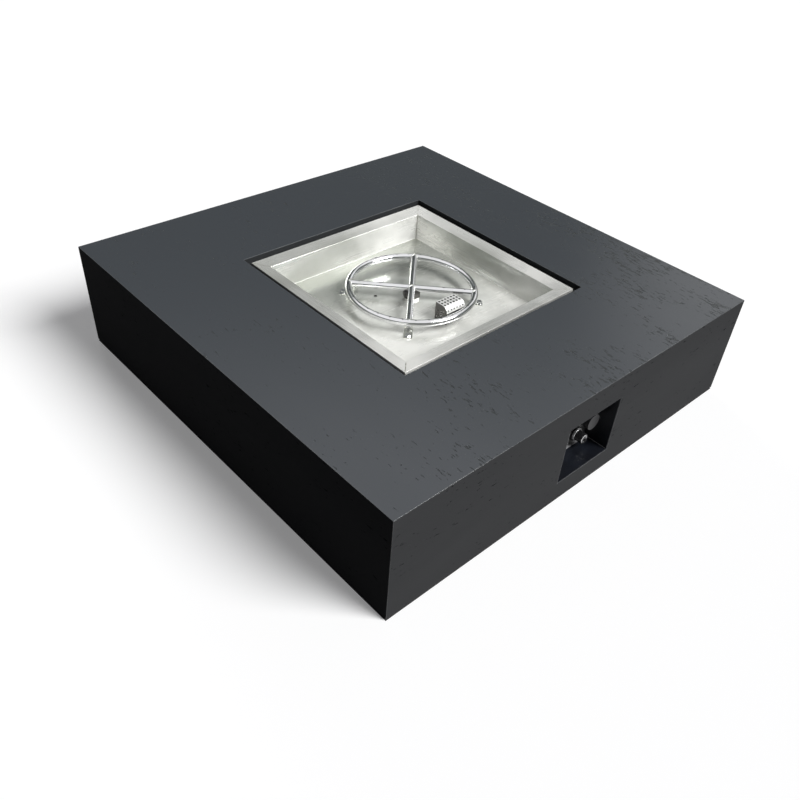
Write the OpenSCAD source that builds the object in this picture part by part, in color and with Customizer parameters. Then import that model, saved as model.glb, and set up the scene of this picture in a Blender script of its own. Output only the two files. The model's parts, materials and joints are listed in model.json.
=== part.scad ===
// Gas fire pit table: a square mitred casing, a drop-in burner pan and a recessed gas control.
// Millimetres, +Z up, origin on the ground under the middle, controls on the -Y side.

/* [Casing] */
// Side of the square top
table_w = 1067; // [950:1:1250]
// Height of the casing from its lower edge to the top face
body_h = 250; // [235:1:320]
// Thickness of every panel
panel_t = 25; // [21:0.5:30]
// Side of the corner posts
post_w = 45; // [40:1:60]
// Width of the bearer rails beside the pan
rail_w = 30; // [20:1:40]
// Height of the bearer rails
rail_h = 60; // [40:1:80]
// Space between the bearer rails and the ledge opening
rail_gap = 4; // [1:0.5:12]

/* [Feet] */
// How far the glides stand below the casing
foot_drop = 4; // [3.5:0.5:10]
// Diameter of a glide
foot_d = 38; // [24:1:40]
// Shank diameter of a glide's screw
foot_screw_d = 5; // [4:0.1:6]
// Length of a glide's screw under its head
foot_screw_l = 28; // [15:1:40]
// Head diameter of a glide's screw
foot_head_d = 10; // [8:0.1:12]
// Head height of a glide's screw
foot_head_h = 2; // [1.5:0.1:3]

/* [Fire opening] */
// Side of the square opening in the top face
opening_w = 540; // [500:1:580]
// How far the pan's mouth lies below the top face
mouth_drop = 12; // [8:0.5:16]
// Gap between the pan's rim and the opening's wall
rim_gap = 12; // [2:0.5:14]
// How far the pan's rim stands above its mouth
rim_rise = 6; // [2:0.5:7.5]
// Gap between the pan's walls and the ledge that carries the rim
pan_clear = 6; // [3:0.5:12]

/* [Burner pan] */
// Inner side of the pan at its mouth
pan_mouth_w = 454; // [430:1:465]
// Inner side of the pan at its floor
pan_floor_w = 417; // [390:1:428]
// Depth of the pan from its mouth to its floor
pan_depth = 53; // [48:0.5:70]
// Sheet thickness of the pan
pan_sheet = 1.5; // [1:0.1:3]
// Diameter of the weep hole in the floor
weep_d = 8; // [4:0.5:10]
// Place of the weep hole across the pan
weep_x = -60; // [-100:1:-45]
// Place of the weep hole along the pan
weep_y = 56; // [45:1:100]

/* [Burner] */
// Outside diameter of the burner ring
ring_d = 305; // [290:1:320]
// Outside diameter of the burner tube
tube_d = 16; // [11:0.1:18]
// Wall of the burner tube
tube_wall = 1.2; // [0.8:0.1:2]
// Height of the tube's centre above the pan's floor
ring_rise = 27; // [24:0.5:34]
// Diameter of a flame port
port_d = 4; // [1.5:0.1:5]
// Number of flame ports round the ring
ring_ports = 32; // [8:4:48]
// Number of flame ports on one arm of the cross
arm_ports = 2; // [2:1:5]

/* [Burner feet] */
// Width of a bracket foot
bracket_w = 19; // [14:1:26]
// Sheet thickness of a bracket foot
bracket_t = 2; // [1.5:0.1:3]
// Distance of a foot's bolt outside the tube's centre
bolt_out = 13; // [11:0.5:18]
// Shank diameter of a foot's bolt
bolt_d = 6; // [5:0.5:8]
// Width across the flats of the bolt heads and nuts
bolt_af = 10; // [9:0.5:13]
// Height of a bolt head
bolt_head_h = 4; // [3:0.5:6]
// Height of a nut under the pan
bolt_nut_h = 5; // [3:0.5:7]
// Diameter of the washer face under a bolt head
bolt_washer_d = 13; // [12:0.5:16]

/* [Burner inlet] */
// Width across the flats of the hex coupling
coupling_af = 36; // [30:1:44]
// Height of the coupling's lower end above the pan's floor
coupling_rise = 8; // [7:0.5:11]
// How far the coupling's saddle reaches up the tubes
saddle_h = 3; // [1:0.5:5]
// Outside diameter of the inlet nipple
nipple_d = 21; // [16:0.5:24]
// Bore of the inlet nipple
nipple_bore = 15; // [10:0.5:15.5]
// Width across the flats of the two locknuts
locknut_af = 32; // [28:1:40]
// Thickness of a locknut
locknut_t = 6; // [4:0.5:6.5]
// Diameter of the elbow's socket
elbow_d = 30; // [28:1:40]
// Height of the elbow's socket
elbow_h = 30; // [26:1:40]
// Depth to which the nipple screws into the elbow
elbow_grip = 14; // [8:1:14]
// Reach of the elbow's arm from the socket's axis
elbow_reach = 26; // [21:1:40]
// Diameter of the elbow's arm
elbow_arm_d = 22; // [20:1:26]

/* [Pilot hood] */
// Place of the hood's middle along X
hood_x = 15; // [-10:1:25]
// Length of the hood
hood_l = 56; // [50:1:64]
// Depth of the hood
hood_w = 36; // [32:1:44]
// Height of the hood
hood_h = 42; // [38:1:50]
// Radius of the hood's upper front edge
hood_r = 14; // [8:1:20]
// Sheet thickness of the hood
hood_sheet = 1; // [0.8:0.1:1.5]
// Clearance between the hood and the ring
hood_clear = 2; // [1:0.5:10]
// Diameter of the hood's holes
hood_hole_d = 4; // [2:0.1:5]
// Spacing of the hood's holes
hood_pitch = 9; // [6:0.5:12]
// Height of the opening in the hood's front
hood_mouth_h = 22; // [12:0.5:24]
// Width of the strips beside the opening in the hood's front
hood_jamb = 4; // [2:0.5:8]
// Length of the hood's screw tabs
hood_tab_l = 8; // [7:0.5:12]
// Width of the hood's screw tabs
hood_tab_w = 14; // [10:1:20]
// Shank diameter of the hood's screws
hood_screw_d = 3; // [2.5:0.1:4]

/* [Pilot] */
// Distance of the electrode and of the probe from the hood's middle
pilot_half = 12; // [8:0.5:15]
// Height of the pilot bracket's shelf
shelf_h = 10; // [6:0.5:14]
// Length of the pilot bracket
shelf_l = 44; // [40:1:47]
// Width of the pilot bracket
shelf_w = 16; // [14:1:24]
// Sheet thickness of the pilot bracket
shelf_t = 1.5; // [1:0.1:2]
// Diameter of the ceramic insulator
insulator_d = 7; // [6:0.1:9]
// Diameter of the insulator's collar
insulator_collar_d = 10; // [9.5:0.1:13]
// Length of the insulator above the shelf
insulator_up = 13; // [8:1:15]
// Length of the insulator below the pan
insulator_down = 10; // [6:1:20]
// Diameter of the spark electrode
electrode_d = 2; // [1.5:0.1:3]
// Height of the electrode's bent tip above the pan's floor
electrode_rise = 30; // [28:0.5:34]
// Length of the electrode's bent tip
electrode_tip = 10; // [5:0.5:14]
// Diameter of the thermocouple probe
probe_d = 6; // [4:0.1:8]
// Height of the probe's tip above the pan's floor
probe_rise = 32; // [24:0.5:34]
// Diameter of the probe's collar
probe_collar_d = 9; // [8.5:0.1:12]
// Thickness of the insulator's and the probe's collars
collar_t = 3; // [2:0.5:5]

/* [Control recess] */
// Place of the recess's middle along X
recess_x = 4; // [-60:1:60]
// Width of the recess
recess_w = 162; // [150:1:220]
// Height of the recess
recess_h = 138; // [128:1:150]
// Distance from the top face down to the recess
recess_drop = 63.5; // [50:0.5:70]
// Depth of the recess from the front face to the control plate
recess_depth = 60; // [48:0.5:90]
// Sheet thickness of the control box and its plate
box_sheet = 1.5; // [1:0.1:2.5]
// How far the control box's edge lies behind the front face
box_set = 1; // [0.5:0.5:3]
// Width of the lip folded forward along the control plate's lower edge
plate_lip = 6; // [3:0.5:10]
// Width of the control box's flange
box_flange = 16; // [12:1:22]
// Shank diameter of the control box's screws
box_screw_d = 4; // [3:0.1:5]
// Length of the control box's screws under the head
box_screw_l = 15; // [10:1:18]
// Head diameter of the control box's screws
box_head_d = 8; // [6.5:0.1:10]
// Head height of the control box's screws
box_head_h = 2.5; // [1.5:0.1:4]

/* [Gas control] */
// Distance of the controls from the recess's middle
control_x = 42; // [20:1:48]
// Distance from the recess's upper edge down to the knob
knob_drop = 59; // [45:0.5:64]
// Diameter of the knob
knob_d = 37; // [34:0.5:46]
// Length of the knob
knob_l = 31; // [24:0.5:34]
// Space between the knob and the control plate at rest
knob_gap = 4.6; // [4.4:0.1:6]
// How far the knob pushes in
knob_travel = 3.5; // [2:0.1:3.8]
// Number of grip flutes round the knob
knob_flutes = 24; // [12:2:36]
// Width of a grip flute
flute_d = 2.4; // [1.5:0.1:3]
// Diameter of the spindle
spindle_d = 8; // [6:0.1:8.5]
// Depth of the flat on the spindle
spindle_flat = 1.2; // [0.6:0.1:1.6]
// Diameter of the plunger sleeve
plunger_d = 12; // [11.8:0.1:12.8]
// Diameter of the valve's bonnet
bonnet_d = 16; // [15.8:0.1:18]
// How far the bonnet stands out of the control plate
bonnet_out = 7; // [6:0.5:8]
// Width across the flats of the bonnet nut
bonnet_nut_af = 22; // [20.5:0.5:24]
// Thickness of the bonnet nut
bonnet_nut_t = 5; // [3:0.5:5.5]
// Width of the valve body
valve_w = 36; // [30:1:44]
// Height of the valve body
valve_h = 40; // [32:1:48]
// Length of the valve body
valve_l = 50; // [46:1:70]
// Diameter of the threaded gas fittings
fitting_d = 16; // [14:0.5:18]
// Length of the threaded gas fittings
fitting_l = 14; // [11:0.5:20]
// Bore of the gas fittings
fitting_bore = 9; // [6:0.5:10]

/* [Igniter] */
// Height of the igniter above the recess's floor
igniter_rise = 25; // [21:0.5:28]
// Diameter of the igniter's flange
igniter_flange_d = 34; // [31:0.5:40]
// Thickness of the igniter's flange
igniter_flange_t = 4; // [3:0.5:6]
// Diameter of the igniter's front barrel
igniter_cap_d = 24; // [22.5:0.5:28]
// How far the igniter's barrel stands out of the control plate
igniter_reach = 25; // [23.5:0.5:32]
// Diameter of the igniter behind the plate
igniter_rear_d = 22; // [20:0.5:24]
// Length of the igniter behind the plate
igniter_rear_l = 64; // [58:1:80]
// Outside diameter of the bright trim ring
trim_d = 29; // [26.5:0.5:30.5]
// Thickness of the bright trim ring
trim_t = 4; // [2:0.5:6]
// Outside diameter of the bright bezel
bezel_d = 21; // [17:0.5:21.5]
// Thickness of the bright bezel
bezel_t = 2.5; // [1.5:0.5:4]
// Diameter of the push button
button_d = 9; // [8.5:0.1:14]
// How far the button stands out at rest
button_proud = 3.9; // [3.8:0.1:6]
// How far the button pushes in
button_travel = 3.5; // [2:0.1:3.6]
// Diameter of the battery
battery_d = 14.2; // [13:0.1:14.6]
// Length of the battery
battery_l = 49; // [44:0.5:52]
// Outside diameter of the igniter's ring nut
ring_nut_d = 32; // [28:0.5:38]
// Thickness of the igniter's ring nut
ring_nut_t = 6; // [4:0.5:8]

/* [Line and leads] */
// Diameter of the internal gas line
gas_line_d = 12; // [9:0.5:13]
// Width across the flats of the gas line's nuts
line_nut_af = 22; // [21:0.5:26]
// Diameter of the ignition lead
spark_lead_d = 4; // [3:0.5:6]
// Diameter of the thermocouple lead
probe_lead_d = 3; // [2:0.5:4]
// Width across the flats of the thermocouple's nut
probe_nut_af = 10; // [8:0.5:14]
// Height of the thermocouple's nut
probe_nut_h = 10; // [6:1:14]

/* [Fits] */
// Radial clearance of a shaft that runs in a bore
run_fit = 0.05; // [0.02:0.01:0.1]
// Radial clearance of a screw, thread or spigot in its hole
thread_fit = 0.08; // [0.02:0.01:0.15]
// Radial clearance of a piece that passes through a sheet
hole_clear = 0.3; // [0.1:0.05:0.6]
// Weld gap where a tube meets the ring or another tube
weld_gap = 0.15; // [0.05:0.05:0.4]

/* [Hidden] */
$fn = 64;

// Levels of the casing and the pan
half_w = table_w / 2;
inner_half = half_w - panel_t;
z_body = foot_drop;
z_top = foot_drop + body_h;
z_soffit = z_top - panel_t;
z_mouth = z_top - mouth_drop;
z_rim = z_mouth + rim_rise;
z_ledge = z_mouth - pan_sheet;
z_floor = z_mouth - pan_depth;
z_under = z_floor - pan_sheet;
post_at = inner_half - post_w / 2;
ledge_half = pan_mouth_w / 2 + pan_sheet + pan_clear;
rail_at = ledge_half + rail_gap + rail_w / 2;
head_sink = 0.2;
big = 2 * table_w;

// Burner places
ring_r = (ring_d - tube_d) / 2;
z_ring = z_floor + ring_rise;
tube_bore = tube_d - 2 * tube_wall;
arm_angles = [45, 135, 225, 315];
bolt_r = ring_r + bolt_out;
bolt_washer_t = 1.2;
foot_end = bolt_out + bolt_washer_d / 2 + 2;
z_coupling = z_floor + coupling_rise;
z_saddle = z_ring - tube_d / 2 + saddle_h;
nipple_top = z_ring - tube_d / 2 - 1;
z_elbow = z_under - locknut_t - 2;
z_arm = z_elbow - elbow_h / 2;
nipple_low = z_elbow - elbow_grip;
line_nut_l = fitting_l + 4;
line_nut_in = 2;

// Pilot places: the hood's front corner keeps its clearance from the ring
hood_reach = ring_r - tube_d / 2 - hood_clear;
hood_far = abs(hood_x) + hood_l / 2;
hood_front = -sqrt(hood_reach * hood_reach - hood_far * hood_far);
hood_y = hood_front + hood_w / 2;
spark_x = hood_x - pilot_half;
probe_x = hood_x + pilot_half;
z_shelf = z_floor + shelf_h + shelf_t;
tail = 6;
hood_hole_rows = 3;
hood_hole_edge = 5;
front_row_tilt = 68;

// Control recess places
y_front = -half_w;
y_in = y_front + panel_t;
y_plate = y_front + recess_depth;
y_back = y_plate + box_sheet;
z_recess_top = z_top - recess_drop;
z_recess = z_recess_top - recess_h;
box_out_w = recess_w + 2 * box_sheet;
box_out_h = recess_h + 2 * box_sheet;
z_recess_mid = z_recess + recess_h / 2;
screw_u = box_out_w / 2 + box_flange / 2;
screw_v = box_out_h / 2 + box_flange / 2;
ctl_x = recess_x + control_x;
knob_z = z_recess_top - knob_drop;
igniter_z = z_recess + igniter_rise;

// Valve and igniter stations along Y, measured from the control plate's front
plunger_front = -bonnet_out + 0.5;
plunger_rear = 12;
collar_rear = plunger_rear + 2.2;
spindle_rear = collar_rear + 3;
spring_front = collar_rear + knob_travel + 0.5;
spring_rear = 36;
valve_rear = box_sheet + valve_l;
knob_back = -knob_gap;
knob_face = knob_back - knob_l;
knob_cup = bonnet_out - knob_gap + 2.4 + knob_travel;
knob_cup_d = bonnet_nut_af / cos(30) + 2;
set_screw_at = (knob_face + knob_back - knob_cup) / 2 + 2;
set_screw_d = 4;
cap_front = -igniter_reach;
cap_rear = -igniter_flange_t;
guide_l = 8;
button_collar_t = 3;
button_collar_front = cap_front + guide_l + 0.2;
button_collar_rear = button_collar_front + button_collar_t;
chamber_d = battery_d + 1;
cap_bore_d = button_d + 4;
battery_front = box_sheet;
battery_nub = 1.5;
battery_nub_d = 5.5;
battery_rear = battery_front + battery_nub + battery_l;
button_spring_front = button_collar_rear + button_travel + 0.5;
button_spring_d = battery_nub_d + 4;

// Routes of the gas line and the leads, from the piece that each leaves to the piece that it enters
gas_start = [ctl_x, y_plate + valve_rear + fitting_l, knob_z];
gas_end = [elbow_reach + fitting_l, 0, z_arm];
gas_route = [
    gas_start,
    gas_start + [0, 16, 0],
    gas_start + [0, 40, 0],
    gas_start + [12, 110, 4],
    gas_end + [70, -180, -16],
    gas_end + [92, -95, -6],
    gas_end + [78, -30, 0],
    gas_end + [44, 0, 0],
    gas_end + [18, 0, 0],
    gas_end
];
spark_start = [spark_x, hood_y, z_under - insulator_down - tail];
spark_end = [ctl_x, y_plate + igniter_rear_l, igniter_z];
spark_route = [
    spark_start,
    spark_start + [0, 0, -14],
    spark_start + [-6, -34, -48],
    spark_start + [-4, -110, -84],
    spark_end + [-18, 90, 2],
    spark_end + [-4, 40, 0],
    spark_end + [0, 18, 0],
    spark_end
];
probe_start = [probe_x, hood_y, z_under - insulator_down];
probe_port_y = y_back + valve_l * 0.72;
probe_end = [ctl_x, probe_port_y, knob_z + valve_h / 2 + 2];
probe_route = [
    probe_start,
    probe_start + [0, 0, -12],
    probe_start + [2, -30, -34],
    probe_start + [4, -110, -40],
    probe_end + [-4, 110, 4],
    probe_end + [-2, 46, 34],
    probe_end + [0, 12, 40],
    probe_end + [0, 0, 26],
    probe_end + [0, 0, 13],
    probe_end
];

// Plain vector helpers
function unit(v) = v / norm(v);
function clamp_at(list, i) = list[max(0, min(len(list) - 1, i))];

// Point on a smooth curve through the route, u from 0 to 1 between point i and the next
function curve_point(route, i, u) =
    let (a = clamp_at(route, i - 1), b = route[i], c = clamp_at(route, i + 1), d = clamp_at(route, i + 2))
    0.5 * (2 * b + (c - a) * u + (2 * a - 5 * b + 4 * c - d) * u * u + (3 * b - a - 3 * c + d) * u * u * u);
function curve(route, steps) = concat(
    [for (i = [0:len(route) - 2], k = [0:steps - 1]) curve_point(route, i, k / steps)],
    [route[len(route) - 1]]
);

// Ring of corners round one point of a path
function path_ring(path, i, r, sides, side_ref) =
    let (
        t = unit(clamp_at(path, i + 1) - clamp_at(path, i - 1)),
        u = unit(cross(side_ref, t)),
        v = cross(t, u)
    )
    [for (k = [0:sides - 1]) path[i] + r * (cos(360 * k / sides) * u + sin(360 * k / sides) * v)];

// Round tube swept along a path, closed at both ends
module swept_tube(path, d, sides, side_ref) {
    n = len(path);
    corners = [for (i = [0:n - 1], p = path_ring(path, i, d / 2, sides, side_ref)) p];
    walls = [
        for (i = [0:n - 2], k = [0:sides - 1], half = [0, 1])
            let (a = i * sides + k, b = i * sides + (k + 1) % sides)
            half == 0 ? [a, a + sides, b] : [b, a + sides, b + sides]
    ];
    caps = [
        for (k = [1:sides - 2], end = [0, 1])
            let (base = (n - 1) * sides)
            end == 0 ? [0, k, k + 1] : [base, base + k + 1, base + k]
    ];
    polyhedron(points = corners, faces = concat(walls, caps));
}

// Compression spring along Y
module coil_spring(mean_d, wire_d, y0, y1, turns) {
    steps = 10;
    n = turns * steps;
    rise = (y1 - y0 - wire_d * 1.2) / n;
    path = [
        for (i = [0:n])
            let (turn = 360 * i / steps)
            [mean_d / 2 * cos(turn), y0 + wire_d * 0.6 + rise * i, mean_d / 2 * sin(turn)]
    ];
    swept_tube(path, wire_d, 6, [0, 1, 0]);
}

// Round bar along Y between two stations
module bar_y(d, y0, y1) {
    translate([0, y0, 0]) rotate([-90, 0, 0]) cylinder(d = d, h = y1 - y0);
}

// Hex bar along Z, given across the flats
module hex_bar(af, h) {
    cylinder(d = af / cos(30), h = h, $fn = 6);
}

// Square block about the Z axis, tapering from one half width to another
module taper_block(half_low, half_high, z_low, z_high) {
    outline = [[-half_low, z_low], [half_low, z_low], [half_high, z_high], [-half_high, z_high]];
    intersection() {
        rotate([90, 0, 0]) linear_extrude(height = big, center = true) polygon(outline);
        rotate([90, 0, 90]) linear_extrude(height = big, center = true) polygon(outline);
    }
}

// Upright block about the Z axis
module square_block(side, z_low, z_high) {
    translate([-side / 2, -side / 2, z_low]) cube([side, side, z_high - z_low]);
}

// Casing side with mitred ends and a mitred upper edge, on the -Y side
module mitred_side() {
    intersection() {
        translate([0, 0, z_body]) linear_extrude(height = body_h) polygon([
            [-half_w, -half_w], [half_w, -half_w], [inner_half, -inner_half], [-inner_half, -inner_half]
        ]);
        rotate([90, 0, 90]) linear_extrude(height = big, center = true)
            polygon([[-half_w, z_body], [-inner_half, z_body], [-inner_half, z_soffit], [-half_w, z_top]]);
    }
}

module at_corners() {
    for (sx = [-1, 1], sy = [-1, 1]) translate([sx * post_at, sy * post_at, 0]) children();
}

module at_arms() {
    for (a = arm_angles) rotate([0, 0, a]) children();
}

module at_box_screws() {
    for (u = [-1, 0, 1], v = [-1, 0, 1])
        if (u != 0 || v != 0)
            translate([recess_x + u * screw_u, y_in, z_recess_mid + v * screw_v]) children();
}

module at_knob() {
    translate([ctl_x, y_plate, knob_z]) children();
}

module at_igniter() {
    translate([ctl_x, y_plate, igniter_z]) children();
}

module at_hood_tabs() {
    for (s = [-1, 1]) translate([hood_x + s * (hood_l / 2 + hood_tab_l / 2), hood_y, z_floor]) children();
}

// Solid of the burner ring's outside, grown by a gap
module ring_solid(grow) {
    translate([0, 0, z_ring]) rotate_extrude() translate([ring_r, 0]) circle(d = tube_d + 2 * grow);
}

// Straight tube of the cross along local X
module arm_bar(d, x0, x1) {
    translate([x0, 0, z_ring]) rotate([0, 90, 0]) cylinder(d = d, h = x1 - x0);
}

module arm_port_cuts(sides) {
    for (s = sides, k = [1:arm_ports])
        translate([s * ring_r * (k + 0.5) / (arm_ports + 1), 0, z_ring]) cylinder(d = port_d, h = tube_d);
}

// Casing

module top_panel() {
    color("#4a4d50") difference() {
        taper_block(inner_half, half_w, z_soffit, z_top);
        square_block(opening_w, z_ledge, z_top + 1);
        square_block(2 * ledge_half, z_soffit - 1, z_ledge + 1);
    }
}

module front_panel() {
    color("#3c3d3f") difference() {
        mitred_side();
        translate([recess_x - box_out_w / 2 - hole_clear, y_front - 1, z_recess - box_sheet - hole_clear])
            cube([box_out_w + 2 * hole_clear, panel_t + 2, box_out_h + 2 * hole_clear]);
        at_box_screws() bar_y(box_screw_d + 2 * thread_fit, box_sheet - box_screw_l - 0.5, 1);
    }
}

module back_panel() {
    color("#3c3d3f") rotate([0, 0, 180]) mitred_side();
}

module left_panel() {
    color("#2b2c2e") rotate([0, 0, 270]) mitred_side();
}

module right_panel() {
    color("#2b2c2e") rotate([0, 0, 90]) mitred_side();
}

module corner_posts() {
    color("#b08a5a") at_corners() difference() {
        square_block(post_w, z_body, z_soffit);
        translate([0, 0, z_body - 1])
            cylinder(d = foot_screw_d + 2 * thread_fit, h = foot_screw_l + 1);
    }
}

module bearer_rails() {
    color("#b08a5a") for (s = [-1, 1])
        translate([s * rail_at - rail_w / 2, -inner_half, z_soffit - rail_h])
            cube([rail_w, 2 * inner_half, rail_h]);
}

module foot_glides() {
    color("#1c1c1c") at_corners() difference() {
        cylinder(d = foot_d, h = foot_drop);
        translate([0, 0, -1]) cylinder(d = foot_screw_d + 2 * hole_clear, h = foot_drop + 2);
        translate([0, 0, -1]) cylinder(d = foot_head_d + 2 * hole_clear, h = head_sink + foot_head_h + 1);
    }
}

module foot_screws() {
    color("#c4c7c9") at_corners() {
        translate([0, 0, head_sink]) cylinder(d = foot_head_d, h = foot_head_h);
        translate([0, 0, head_sink + foot_head_h]) cylinder(d = foot_screw_d, h = foot_screw_l - 1);
    }
}

// Burner pan and burner

module pan_floor() {
    color("#c9cac7") difference() {
        square_block(pan_floor_w, z_under, z_floor);
        translate([0, 0, z_under - 1]) {
            cylinder(d = nipple_d + 2 * hole_clear, h = pan_sheet + 2);
            translate([weep_x, weep_y, 0]) cylinder(d = weep_d, h = pan_sheet + 2);
            translate([spark_x, hood_y, 0]) cylinder(d = insulator_d + 2 * hole_clear, h = pan_sheet + 2);
            translate([probe_x, hood_y, 0]) cylinder(d = probe_d + 2 * hole_clear, h = pan_sheet + 2);
            at_arms() translate([bolt_r, 0, 0]) cylinder(d = bolt_d + 2 * hole_clear, h = pan_sheet + 2);
        }
        at_hood_tabs() translate([0, 0, -pan_sheet - 1])
            cylinder(d = hood_screw_d + 2 * thread_fit, h = pan_sheet + 2);
    }
}

// Pan side on the -Y side, folded from one strip with mitred ends: a sloped wall, a flange that climbs
// from the mouth to the rim, and a hem that stands on the ledge
module pan_side() {
    floor_half = pan_floor_w / 2;
    mouth_half = pan_mouth_w / 2;
    rim_half = opening_w / 2 - rim_gap;
    sheet_climb = pan_sheet * rim_rise / (rim_half - mouth_half);
    mitre_set = weld_gap / sqrt(2);
    intersection() {
        rotate([90, 0, 90]) linear_extrude(height = big, center = true) polygon([
            [-floor_half, z_under], [-floor_half, z_floor], [-mouth_half, z_mouth],
            [-rim_half, z_rim], [-rim_half, z_ledge], [-rim_half + pan_sheet, z_ledge],
            [-rim_half + pan_sheet, z_rim - pan_sheet - sheet_climb],
            [-mouth_half - pan_sheet, z_ledge + sheet_climb], [-floor_half - pan_sheet, z_under]
        ]);
        linear_extrude(height = z_top)
            polygon([[0, -mitre_set], [-big, -big - mitre_set], [big, -big - mitre_set]]);
    }
}

module pan_sides() {
    color("#c9cac7") for (a = [0, 90, 180, 270]) rotate([0, 0, a]) pan_side();
}

module burner_ring() {
    color("#d5d6d6") difference() {
        ring_solid(0);
        ring_solid(-tube_wall);
        for (k = [0:ring_ports - 1]) rotate([0, 0, 360 * (k + 0.5) / ring_ports])
            translate([ring_r, 0, z_ring]) cylinder(d = port_d, h = tube_d);
    }
}

module burner_spokes() {
    color("#d5d6d6") {
        rotate([0, 0, arm_angles[0]]) difference() {
            arm_bar(tube_d, -ring_r, ring_r);
            arm_bar(tube_bore, -ring_r, ring_r);
            ring_solid(weld_gap);
            arm_port_cuts([-1, 1]);
            translate([0, 0, z_ring - tube_d]) cylinder(d = tube_bore / 2, h = tube_d);
        }
        for (a = [arm_angles[1], arm_angles[3]]) rotate([0, 0, a]) difference() {
            arm_bar(tube_d, 0, ring_r);
            arm_bar(tube_bore, -1, ring_r);
            ring_solid(weld_gap);
            arm_port_cuts([1]);
            rotate([0, 0, 90]) arm_bar(tube_d + 2 * weld_gap, -tube_d, tube_d);
        }
    }
}

module burner_feet() {
    color("#c9cac7") at_arms() difference() {
        union() {
            for (size = [[bracket_t, bracket_w, ring_rise], [foot_end, bracket_w, bracket_t]])
                translate([ring_r - bracket_t / 2, -bracket_w / 2, z_floor]) cube(size);
        }
        ring_solid(weld_gap);
        translate([bolt_r, 0, z_floor - 1]) cylinder(d = bolt_d + 2 * hole_clear, h = bracket_t + 2);
    }
}

module burner_bolts() {
    color("#d5d6d6") at_arms() translate([bolt_r, 0, z_floor + bracket_t]) {
        cylinder(d = bolt_washer_d, h = bolt_washer_t);
        translate([0, 0, bolt_washer_t]) hex_bar(bolt_af, bolt_head_h);
        translate([0, 0, -bracket_t - pan_sheet - bolt_nut_h - 2])
            cylinder(d = bolt_d, h = bracket_t + pan_sheet + bolt_nut_h + 2);
    }
}

module burner_nuts() {
    color("#c4c7c9") at_arms() translate([bolt_r, 0, z_under - bolt_nut_h]) difference() {
        hex_bar(bolt_af, bolt_nut_h);
        translate([0, 0, -1]) cylinder(d = bolt_d + 2 * thread_fit, h = bolt_nut_h + 2);
    }
}

module hub_coupling() {
    color("#4d4d4b") difference() {
        translate([0, 0, z_coupling]) hex_bar(coupling_af, z_saddle - z_coupling);
        translate([0, 0, z_coupling - 1])
            cylinder(d = nipple_d + 2 * thread_fit, h = nipple_top - z_coupling + 1);
        translate([0, 0, z_coupling]) cylinder(d = nipple_bore, h = z_saddle - z_coupling + 1);
        for (a = [arm_angles[0], arm_angles[1]]) rotate([0, 0, a])
            arm_bar(tube_d + 2 * weld_gap, -coupling_af, coupling_af);
    }
}

module inlet_nipple() {
    color("#8a8c8c") translate([0, 0, nipple_low]) difference() {
        cylinder(d = nipple_d, h = nipple_top - nipple_low);
        translate([0, 0, -1]) cylinder(d = nipple_bore, h = nipple_top - nipple_low + 2);
    }
}

module pan_locknuts() {
    color("#c9cac7") for (z = [z_floor, z_under - locknut_t]) translate([0, 0, z]) difference() {
        hex_bar(locknut_af, locknut_t);
        translate([0, 0, -1]) cylinder(d = nipple_d + 2 * thread_fit, h = locknut_t + 2);
    }
}

module inlet_elbow() {
    color("#c9a24a") difference() {
        union() {
            translate([0, 0, z_elbow - elbow_h]) cylinder(d = elbow_d, h = elbow_h);
            translate([0, 0, z_arm]) rotate([0, 90, 0]) {
                cylinder(d = elbow_arm_d, h = elbow_reach);
                cylinder(d = fitting_d, h = elbow_reach + fitting_l);
            }
        }
        translate([0, 0, nipple_low]) cylinder(d = nipple_d + 2 * thread_fit, h = elbow_grip + 1);
        translate([0, 0, z_arm - fitting_bore / 2]) cylinder(d = fitting_bore, h = elbow_h);
        translate([0, 0, z_arm]) rotate([0, 90, 0])
            cylinder(d = fitting_bore, h = elbow_reach + fitting_l + 1);
    }
}

// Internal gas line

module gas_line() {
    color("#b9bbbb") swept_tube(curve(gas_route, 4), gas_line_d, 8, [0, 0, 1]);
}

module line_nut() {
    difference() {
        hex_bar(line_nut_af, line_nut_l);
        translate([0, 0, -1]) cylinder(d = fitting_d + 2 * thread_fit, h = fitting_l - line_nut_in + 1);
        translate([0, 0, -1]) cylinder(d = gas_line_d + 2 * hole_clear, h = line_nut_l + 2);
    }
}

module gas_line_nuts() {
    color("#c9a24a") {
        translate(gas_start + [0, line_nut_in - fitting_l, 0]) rotate([-90, 0, 0]) line_nut();
        translate(gas_end + [line_nut_in - fitting_l, 0, 0]) rotate([0, 90, 0]) line_nut();
    }
}

// Pilot

// Hood block with a rounded upper front edge, inset by a wall
module hood_block(inset) {
    r = hood_r - inset;
    x0 = hood_x - hood_l / 2 + inset;
    y0 = hood_front + inset;
    l = hood_l - 2 * inset;
    w = hood_w - 2 * inset;
    low = inset > 0 ? -1 : 0;
    high = hood_h - inset;
    translate([x0, y0, z_floor]) {
        translate([0, r, low]) cube([l, w - r, high - low]);
        translate([0, 0, low]) cube([l, w, high - r - low]);
        translate([0, r, high - r]) rotate([0, 90, 0]) cylinder(r = r, h = l);
    }
}

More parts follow.
